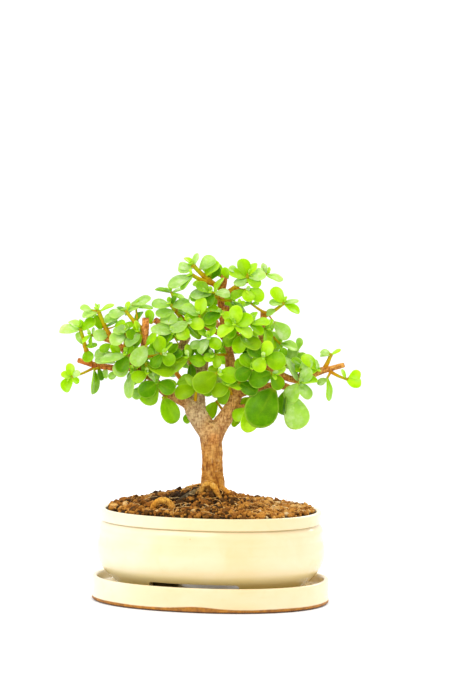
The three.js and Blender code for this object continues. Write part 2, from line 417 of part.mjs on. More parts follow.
function makeSoil(woodWithGap) {
  const random = dice(77);
  const reach = POT.halfLength - POT.rimThickness - 0.9;
  const points = [];
  const rings = [];
  for (let i = 0; i <= SOIL.rings; i++) {
    rings.push(points.length);
    const count = Math.max(1, 6 * i);
    for (let k = 0; k < count; k++) {
      const spot = ovalSpot((k / count) * 2 * Math.PI, (reach * i) / SOIL.rings);
      const inside = i < SOIL.rings;
      const jitter = inside ? 1.6 : 0;
      const x = spot.x + jitter * (random() - 0.5);
      const y = spot.y + jitter * (random() - 0.5);
      const rough = inside ? SOIL.crumb * (2 * random() - 1) : 0;
      points.push(new THREE.Vector3(x, y, inside ? mound(x, y) + rough : SOIL.edge));
    }
  }
  const faces = [];
  for (let i = 0; i < SOIL.rings; i++) ringFaces(faces, rings[i], 6 * i, rings[i + 1], 6 * (i + 1));
  const rim = 6 * SOIL.rings;
  const levels = [[reach, 57], [reach + 1.2, 40], [reach - 3.2, 28], [reach - 11.6, POT_FLOOR]];
  let upper = rings[SOIL.rings];
  for (const [halfLength, z] of levels) {
    const lower = points.length;
    for (let k = 0; k < rim; k++) {
      const spot = ovalSpot((k / rim) * 2 * Math.PI, halfLength);
      points.push(new THREE.Vector3(spot.x, spot.y, z));
      const next = (k + 1) % rim;
      faces.push([upper + k, lower + next, upper + next], [upper + k, lower + k, lower + next]);
    }
    upper = lower;
  }
  const heart = points.length;
  points.push(new THREE.Vector3(0, 0, POT_FLOOR));
  for (let k = 0; k < rim; k++) faces.push([heart, upper + ((k + 1) % rim), upper + k]);

  const crumbs = [];
  for (let i = 0; i < SOIL.granules; i++) {
    const spot = ovalSpot(random() * 2 * Math.PI, (reach - 7) * Math.sqrt(0.04 + 0.96 * random()));
    const size = 2 + 1.6 * random();
    const crumb = new THREE.OctahedronGeometry(size, 0).scale(1.15, 1, 0.85);
    crumb.rotateX(random() * 3).rotateZ(random() * 6);
    crumbs.push(solid(crumb.translate(spot.x, spot.y, mound(spot.x, spot.y) + 0.25 * size)));
  }
  const whole = wasm.Manifold.union([solid(facets(points, faces)), ...crumbs]);
  const meshRoom = [-1, 1].map((side) => boxSolid(
    DRAIN_MESH.size + 2 * GAP, DRAIN_MESH.size + 2 * GAP, DRAIN_MESH.thickness + GAP + 1,
    (side * DRAIN.spacing) / 2, 0, POT_FLOOR - 1,
  ));
  return largest(wasm.Manifold.difference([whole, woodWithGap, ...meshRoom]));
}

// Triangles between two rings of a disc, the inner one with fewer points.
function ringFaces(faces, inner, innerCount, outer, outerCount) {
  if (innerCount === 0) {
    for (let k = 0; k < outerCount; k++) faces.push([inner, outer + k, outer + ((k + 1) % outerCount)]);
    return;
  }
  let i = 0;
  let o = 0;
  while (i < innerCount || o < outerCount) {
    const innerNext = (i + 1) / innerCount;
    const outerNext = (o + 1) / outerCount;
    if (o < outerCount && outerNext <= innerNext + 1e-9) {
      faces.push([inner + (i % innerCount), outer + o, outer + ((o + 1) % outerCount)]);
      o++;
    } else {
      faces.push([inner + (i % innerCount), outer + (o % outerCount), inner + ((i + 1) % innerCount)]);
      i++;
    }
  }
}

function makeDrainMesh(side) {
  const x = (side * DRAIN.spacing) / 2;
  const plate = boxSolid(DRAIN_MESH.size, DRAIN_MESH.size, DRAIN_MESH.thickness, x, 0, POT_FLOOR);
  const holes = [];
  for (const i of [-0.5, 0.5]) {
    for (const k of [-0.5, 0.5]) {
      const hole = DRAIN_MESH.hole;
      holes.push(boxSolid(hole, hole, 4, x + i * DRAIN_MESH.pitch, k * DRAIN_MESH.pitch, POT_FLOOR - 1));
    }
  }
  return wasm.Manifold.difference([plate, ...holes]);
}

// ---------------------------------------------------------------- leafy shoots
// A stem is a quadratic curve that sags a little before it rises to its tip.
function makeCurve(base, tip) {
  const middle = base.clone().add(tip).multiplyScalar(0.5);
  middle.z -= STEM_SAG * base.distanceTo(tip);
  return new THREE.QuadraticBezierCurve3(base, middle, tip);
}

function stemsOf([first, ...branches]) {
  const grown = (curve, [radius, leaves]) => ({ curve, radius, leaves });
  const main = grown(makeCurve(vec(first), vec(first.slice(3))), first.slice(6));
  const others = branches.map((branch) => grown(
    makeCurve(main.curve.getPoint(branch[0]), vec(branch.slice(1))), branch.slice(4),
  ));
  return [main, ...others];
}

function makeStem({ curve, radius }) {
  const stops = [0, 0.5, 1].map((t) => [...curve.getPoint(t).toArray(), radius * (1 - STEM_TAPER * t)]);
  return tube(stops, STEM_SIDES);
}

// Where each leaf of a stem grows.
function leafPlaces({ curve, leaves }, seed) {
  const random = dice(seed);
  return Array.isArray(leaves[0]) ? toldLeaves(curve, leaves, random) : pairedLeaves(curve, leaves, random);
}

// Pairs face each other, and each pair is turned a quarter from the last.
function pairedLeaves(curve, [length, pairs, turn], random) {
  const places = [];
  for (let pair = 0; pair < pairs; pair++) {
    const along = lerp(FIRST_LEAVES, LAST_LEAVES, pair / (pairs - 1));
    const young = pairs > 2 && pair === pairs - 1;
    for (const side of [0, 1]) {
      places.push({
        at: curve.getPoint(along),
        stem: curve.getTangent(along).normalize(),
        swing: turn + 90 * pair + 180 * side + 24 * (random() - 0.5),
        spread: (young ? TIP_SPREAD : SPREAD) + 16 * (random() - 0.5),
        length: length * (young ? YOUNG_SIZE : 1) * (0.84 + 0.26 * random()),
        width: LEAF.width * (0.92 + 0.16 * random()),
        light: TURN_TO_LIGHT.least + TURN_TO_LIGHT.spread * random(),
      });
    }
  }
  return places;
}

function toldLeaves(curve, leaves, random) {
  const last = 1 - LEAF_HOLD / curve.v0.distanceTo(curve.v2);
  return leaves.map(([along, heading, lean, length, roll]) => ({
    at: curve.getPoint(Math.min(along, last)), heading, lean, roll, length,
    width: LEAF.width * (0.92 + 0.16 * random()),
  }));
}

// A leaf's own frame after a bend: its axis, its upper face and the way across it.
function leafFrame(place, bend) {
  const { axis, face } = place.stem ? pairedWay(place, bend) : toldWay(place, bend);
  const side = face.clone().cross(axis);
  return { at: place.at, axis, face, side, length: place.length * bend[2], width: place.width };
}

const squareTo = (way, axis) => way.addScaledVector(axis, -way.dot(axis)).normalize();

function pairedWay(place, bend) {
  const swing = THREE.MathUtils.degToRad(place.swing + bend[0]);
  const spread = THREE.MathUtils.degToRad(place.spread + bend[1]);
  const across = NEARLY_UP.clone().cross(place.stem).normalize();
  const outer = place.stem.clone().cross(across);
  const away = across.multiplyScalar(Math.cos(swing)).addScaledVector(outer, Math.sin(swing));
  const axis = place.stem.clone().multiplyScalar(Math.cos(spread)).addScaledVector(away, Math.sin(spread));
  axis.z -= DROOP * (place.length / 14);
  axis.normalize();
  const light = place.at.clone().sub(CROWN_HEART).multiply(LIGHT_SHARES).normalize();
  light.z += 0.2;
  const face = place.stem.clone().multiplyScalar(1 - place.light).addScaledVector(light, place.light);
  return { axis, face: squareTo(face, axis) };
}

function toldWay(place, bend) {
  const heading = THREE.MathUtils.degToRad(place.heading + bend[0]);
  const lean = THREE.MathUtils.degToRad(place.lean + bend[1]);
  const roll = THREE.MathUtils.degToRad(place.roll);
  const flat = Math.cos(lean);
  const axis = new THREE.Vector3(flat * Math.cos(heading), -Math.sin(lean), flat * Math.sin(heading));
  const front = squareTo(new THREE.Vector3(0, -1, 0), axis);
  const upper = axis.clone().cross(front);
  if (upper.z < 0) upper.negate();
  return { axis, face: front.multiplyScalar(Math.cos(roll)).addScaledVector(upper, Math.sin(roll)) };
}

// An obovate blade, thick in the middle. first is the share of its length where the solid starts.
function makeLeaf(frame, first, grow = 0) {
  const { length } = frame;
  const half = (frame.width * length) / 2;
  const thick = Math.max(1.3, LEAF.thickness * length) / 2 + grow;
  const spot = (x, y, z) => frame.at.clone()
    .addScaledVector(frame.axis, x * length)
    .addScaledVector(frame.side, y)
    .addScaledVector(frame.face, z - LEAF.recurve * length * x * x);
  const outline = LEAF.outline.map(([x, share]) => [x, half * share + grow, LEAF.cup * length * share ** 2]);
  const points = [
    spot(first, 0, 0),
    ...outline.map(([x, y, z]) => spot(x, y, z)),
    spot(1 + grow / length, 0, 0),
    ...outline.map(([x, y, z]) => spot(x, -y, z)).reverse(),
    spot(LEAF.middle, 0, thick),
    spot(LEAF.middle, 0, -thick),
  ];
  const rim = points.length - 2;
  const faces = [];
  for (let i = 0; i < rim; i++) {
    const next = (i + 1) % rim;
    faces.push([i, next, rim], [next, i, rim + 1]);
  }
  return solid(facets(points, faces));
}

const touch = (a, b) => [0, 1, 2].every((i) => a.box.min[i] < b.box.max[i] && b.box.min[i] < a.box.max[i])
  && a.made.intersect(b.made).volume() > 1e-4;
const boxed = (made, shoot) => ({ made, shoot, box: made.boundingBox() });

// Every shoot's solid, its leaves bent clear of what is already there. A leaf with no room is left out.
function makeShoots(woodWithGap) {
  const shoots = SHOOTS.map(stemsOf);
  const stems = shoots.map((shoot, number) => boxed(
    wasm.Manifold.union(shoot.map((stem) => makeStem(stem))), number,
  ));
  const bark = boxed(woodWithGap);
  const blades = [];
  const wholes = [];
  const hasRoom = (blade, whole) => !touch(blade, bark) && !blades.some((other) => touch(blade, other))
    && ![...stems, ...wholes].some((other) => other.shoot !== whole.shoot && touch(whole, other));
  const made = shoots.map((shoot, number) => {
    const leaves = [];
    shoot.forEach((stem, branch) => {
      for (const place of leafPlaces(stem, 1000 * number + 10 * branch + 7)) {
        for (const bend of BENDS) {
          const frame = leafFrame(place, bend);
          const blade = boxed(makeLeaf(frame, LEAF.bare, GAP), number);
          const whole = boxed(makeLeaf(frame, LEAF.root, GAP), number);
          if (!hasRoom(blade, whole)) continue;
          blades.push(blade);
          wholes.push(whole);
          leaves.push(makeLeaf(frame, LEAF.root));
          break;
        }
      }
    });
    return wasm.Manifold.union([stems[number].made, ...leaves]);
  });
  return made.map((shoot) => largest(shoot.subtract(woodWithGap)));
}

// ---------------------------------------------------------------- assembly
const wood = makeWood();
const woodWithGap = makeWood(GAP);
const plant = new THREE.Group();
plant.rotation.set(0, TREE_LEAN, TREE_TURN, "ZYX");
plant.updateMatrixWorld(true);
plant.add(mesh("trunk_limbs_and_roots", wood, BARK));
makeShoots(woodWithGap).forEach((made, i) => {
  plant.add(mesh("leafy_shoot_" + String(i + 1).padStart(2, "0"), made, LEAF_GREEN));
});

const bonsai = new THREE.Group();
bonsai.add(mesh("drip_tray", makeTray(), GLAZE));
bonsai.add(mesh("pot", makePot(), GLAZE));
bonsai.add(mesh("drain_mesh_left", makeDrainMesh(-1), PLASTIC));
bonsai.add(mesh("drain_mesh_right", makeDrainMesh(1), PLASTIC));
bonsai.add(mesh("soil", makeSoil(woodWithGap.transform(plant.matrixWorld.toArray())), EARTH));
bonsai.add(plant);

export default bonsai;
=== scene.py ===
"""Looks for a dwarf jade bonsai in an oval glazed pot that stands in its drip tray.

The wood, the shoots, the soil, the pot and the tray are rebuilt finely from the same named values as the
solids, and stand where the solids are. Lengths in the tables are millimetres, in the part's own frame or
in the tree's frame, which is turned and leans a little. Blender's objects are in metres.
"""

import math

import bmesh
import bpy
import numpy as np
from mathutils import Matrix, Vector, noise


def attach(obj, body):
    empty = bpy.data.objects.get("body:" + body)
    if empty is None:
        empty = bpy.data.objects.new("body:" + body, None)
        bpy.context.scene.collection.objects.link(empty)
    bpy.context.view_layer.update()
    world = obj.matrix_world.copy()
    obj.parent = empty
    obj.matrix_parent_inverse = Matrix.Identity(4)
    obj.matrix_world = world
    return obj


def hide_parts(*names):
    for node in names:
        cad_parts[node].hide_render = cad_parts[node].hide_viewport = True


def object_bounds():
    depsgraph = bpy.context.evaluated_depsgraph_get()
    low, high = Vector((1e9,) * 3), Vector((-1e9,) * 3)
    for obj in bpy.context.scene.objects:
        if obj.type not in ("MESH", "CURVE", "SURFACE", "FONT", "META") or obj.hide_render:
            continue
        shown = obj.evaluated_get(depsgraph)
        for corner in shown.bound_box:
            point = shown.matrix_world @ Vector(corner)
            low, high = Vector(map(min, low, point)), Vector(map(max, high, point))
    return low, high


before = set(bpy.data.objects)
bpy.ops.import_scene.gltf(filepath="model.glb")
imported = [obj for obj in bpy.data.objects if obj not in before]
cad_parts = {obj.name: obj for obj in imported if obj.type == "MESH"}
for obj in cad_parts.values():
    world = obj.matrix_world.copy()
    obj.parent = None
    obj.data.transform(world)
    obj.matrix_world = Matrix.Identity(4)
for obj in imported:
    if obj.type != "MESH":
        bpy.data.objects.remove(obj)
cad_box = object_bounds()

MM = 0.001


def placed(name, data):
    """A new object in the scene."""
    made = bpy.data.objects.new(name, data)
    bpy.context.scene.collection.objects.link(made)
    return made


# ---------------------------------------------------------------- camera
CAMERA = {"at": (0.6164, -2.6287, 0.403), "turn": 13, "pitch": 4.3245, "roll": 0.6, "sensor": 36, "lens": 192}


def make_camera():
    turn, pitch, roll = (math.radians(CAMERA[key]) for key in ("turn", "pitch", "roll"))
    ahead = Vector((-math.cos(pitch) * math.sin(turn), math.cos(pitch) * math.cos(turn), -math.sin(pitch)))
    level = Vector((math.cos(turn), math.sin(turn), 0))
    over = level.cross(ahead)
    right = level * math.cos(roll) + over * math.sin(roll)
    up = over * math.cos(roll) - level * math.sin(roll)
    data = bpy.data.cameras.new("camera")
    data.sensor_width, data.lens = CAMERA["sensor"], CAMERA["lens"]
    camera = placed("camera", data)
    camera.matrix_world = Matrix.Translation(CAMERA["at"]) @ Matrix((right, up, -ahead)).transposed().to_4x4()
    bpy.context.scene.camera = camera


make_camera()

# ---------------------------------------------------------------- the same values as the solids'
TRAY = {"half": 90.5, "height": 18.5, "floor": 10, "wall": 4.2}
POT = {"half": 84.2, "rim_top": 69.5, "foot": 9.7, "floor": 5, "rim": 4.2}
OVAL_RATIO = 0.765
OVAL_POWER = 2.15
DRAIN = {"radius": 7, "spacing": 56, "sides": 32}
FOOT_ARCH = 69
SOIL = {"edge": 69.2, "heap": 3.2, "crown": 14, "left": 46, "right": 23, "deep": 26}
POT_BASE = TRAY["floor"]
POT_UNDERSIDE = POT_BASE + POT["foot"]
POT_FLOOR = POT_UNDERSIDE + POT["floor"]
TREE = np.array(Matrix.Rotation(math.radians(13), 3, "Z") @ Matrix.Rotation(math.radians(0.8), 3, "Y"))
CROWN_HEART = np.array((-2, 8, 172.0))
LIGHT_SHARES = np.array((0.45, 1.9, 0.5))
STEM_SAG = 0.1
STEM_TAPER = 0.3
FIRST_LEAVES = 0.34
LAST_LEAVES = 0.985
LEAF_HOLD = 0.9
YOUNG_SIZE = 0.68
NEARLY_UP = np.array((0.1, 0.25, 1))
SPREAD = 62
TIP_SPREAD = 40
TURN_TO_LIGHT = {"least": 0.35, "spread": 0.5}
DROOP = 0.16
LEAF = {"width": 0.76, "thickness": 0.13, "cup": 0.05, "recurve": 0.08}
BENDS = [
    (0, 0, 1), (16, 0, 1), (-16, 0, 1), (0, -16, 1), (0, 14, 1), (32, -8, 0.95), (-32, -8, 0.95),
    (0, -26, 0.85), (22, 16, 0.85), (-22, 16, 0.85), (48, 0, 0.8), (-48, 0, 0.8), (30, -22, 0.7),
    (-30, -22, 0.7),
]

# Roots, trunk and limbs: [x, y, z, radius] along each, in the tree's frame.
LIMBS = {
    "trunk": [[0, 0, 50, 4], [0, 0, 64, 8], [0, 0, 80, 9.3], [0, 0, 89, 8.7], [-0.5, 0, 98, 8],
        [-0.7, 0, 110, 7.8], [-1.8, 0, 120, 8.1], [-2.8, 0, 129, 9.2], [-2.5, 0, 135, 7]],
    "left_fork": [[-1, 0, 114, 5], [-3.8, 0, 123, 6.8], [-8.6, 0, 133, 7.6], [-13.8, -1, 141, 7.4],
        [-17, -2, 148, 6.5], [-18, -2, 152, 4]],
    "left_limb": [[-14, -1, 145, 5], [-22, -3, 150, 4.6], [-30, -5, 153.5, 3.9], [-38, -8, 158, 3.5],
        [-46, -9, 166, 3.2], [-53, -8, 172, 3.1], [-60, -8, 175.5, 3], [-66, -8, 177, 2.8]],
    "left_rise": [[-60, -8, 175, 2.6], [-64, -8, 180, 2.6], [-68, -7, 187, 2.5], [-75, -5, 193, 2.4],
        [-82, -4, 195.5, 2.1], [-91, -3, 197.5, 1.7]],
    "left_reach": [[-61, -8, 175.5, 2.5], [-71, -5, 174, 2.5], [-80, -3, 174.5, 2.4], [-92, 0, 176, 2.3],
        [-104, 3, 179, 2]],
    "left_post": [[-57, -8, 174, 2.9], [-55.5, -11, 184, 2.8], [-53.8, -13, 194, 2.8], [-53.2, -14, 205, 2.8],
        [-53.2, -14, 213.5, 2.7]],
    "grey_limb": [[-12, 0, 143, 5.5], [-12.5, 1, 155, 5], [-14, 4, 166, 4], [-17, 7, 176, 3.5],
        [-21, 8, 184, 3.2], [-24, 8, 192, 3], [-24, 6, 202, 2.5], [-22, 4, 209, 2.3], [-21.5, 3, 214.5, 2.2]],
    "grey_knuckle": [[-30, 6, 188.5, 2.6], [-25, 8, 193, 3], [-21.5, 10, 198, 2.5]],
    "grey_side": [[-24, 7, 196, 2.5], [-33, 2, 203, 2.4], [-41, -5, 208, 2.4], [-46, -10, 211.5, 2.4]],
    "grey_inner": [[-13, 0, 149, 4.6], [-11, 2, 160, 4], [-9.5, 4, 170, 3.5], [-8.5, 5, 179, 3.1],
        [-7, 5, 189, 2.9], [-5.5, 4, 196, 2.5]],
    "right_fork": [[-0.5, 0, 114, 5], [0.6, 0, 123, 6.2], [3.8, 0, 132, 6.5], [8.5, -1, 139, 5.9],
        [12, -2, 146, 5.3], [15, -3, 153, 4.9], [16, -3, 159, 4.6], [15, -2, 166, 4], [12.5, -1, 174, 3.8],
        [11, 0, 182, 3.8], [9, 0, 190, 3.5], [8, 0, 198, 3.2]],
    "centre_left": [[8, 0, 196, 2.6], [3, -3, 202, 2.5], [-3, -6, 204.5, 2.2], [-10, -9, 208, 1.9]],
    "centre_right": [[8, 0, 196, 2.8], [12, -4, 201.5, 2.7], [17, -8, 206, 2.5], [20, -10, 208.5, 2.2]],
    "leader": [[8, 0, 195, 3.2], [6, 2, 206, 3], [4, 3, 216, 2.9], [2.8, 3, 225, 2.8], [3.2, 3, 233, 2.7],
        [4.6, 3, 240, 2.6], [5, 3, 246.5, 2.5]],
    "leader_spur": [[4, 3, 212, 2.4], [6.5, 0, 217, 2.5], [7, -1, 223, 2.4]],
    "right_limb": [[15, -2, 163, 3.8], [22, -5, 172, 3.4], [30, -7, 176.5, 3.2], [37, -7, 178, 3.1],
        [45, -6, 174.5, 2.9], [53, -5, 170.5, 2.7], [61, -3, 168.5, 2.5], [70, -1, 171, 2.5],
        [79, 0, 175.5, 2.9], [85, 0, 177, 2.2], [97, 1, 180.5, 2]],
    "right_post": [[34, -7, 176, 2.7], [36, -5, 186, 2.6], [35.5, -2, 195, 2.6], [33.5, 1, 204, 2.6],
        [35, 2, 212, 2.6], [35, 2, 219.5, 2.4]],
    "right_spur": [[61, -3, 168, 1.9], [65, 0, 174, 1.9], [68, 3, 180, 1.8]],
    "right_low": [[16, -3, 157, 4], [24, -4, 159.5, 3.4], [34, 0, 161.5, 3.1], [44, 3, 163, 2.9],
        [52, 4, 163, 2.8], [58, 4, 160, 2.5]],
    "right_twig": [[12, -2, 145, 3.2], [20, -5, 146.5, 2.6], [28, -8, 149.5, 2.2], [36, -11, 155.5, 1.8]],
    "back_left": [[-14, 0, 147, 4], [-19, 11, 157, 3.3], [-26, 21, 165, 2.6]],
    "back_right": [[15, -1, 160, 4], [19, 9, 166, 3.3], [25, 19, 172, 2.6]],
    "back_top": [[7, 1, 202, 2.8], [4, 9, 205, 2.5], [0, 16, 208, 2.2]],
    "back_low": [[2, 2, 128, 4.6], [7, 12, 138, 3.8], [11, 21, 147, 3], [12, 28, 154, 2.4]],
    "root_left": [[-4, -3, 84, 3.4], [-12, -8, 82.5, 2.6], [-19, -13, 79.5, 2.3], [-25, -18, 76, 2.1],
        [-30, -22, 70, 1.6]],
    "root_arch": [[-3, -3, 66, 3], [-16, -15, 64, 2.4], [-27, -27, 67, 2.3], [-29.5, -30, 73, 2.5],
        [-33.5, -31, 77.5, 2.6], [-39, -31, 78, 2.5], [-43.5, -30, 74.5, 2.2], [-46, -29, 67, 1.5]],
    "root_loop": [[-10, -8, 72, 1.6], [-9.5, -9.5, 80, 1.8], [-7.5, -9.8, 86, 2], [-3.5, -10, 89.5, 2.2],
        [0.5, -11, 87.5, 2.4], [3.5, -12.5, 83, 2.3], [6, -14.5, 77, 2], [8, -17, 70, 1.5]],
    "root_right": [[4, -3, 86, 3], [10, -6, 83.5, 2.3], [15.5, -8, 79.5, 1.9], [20, -10, 75, 1.6],
        [23, -11, 69, 1.3]],
    "root_back": [[0, 4, 87, 3], [3, 12, 84, 2.2], [6, 20, 79, 1.8], [8, 26, 72, 1.4]],
    "root_back_left": [[-4, 3, 86, 2.8], [-12, 5, 85, 2.2], [-20, 7, 82.5, 1.9], [-26, 9, 77, 1.6],
        [-29, 11, 70, 1.3]],
}

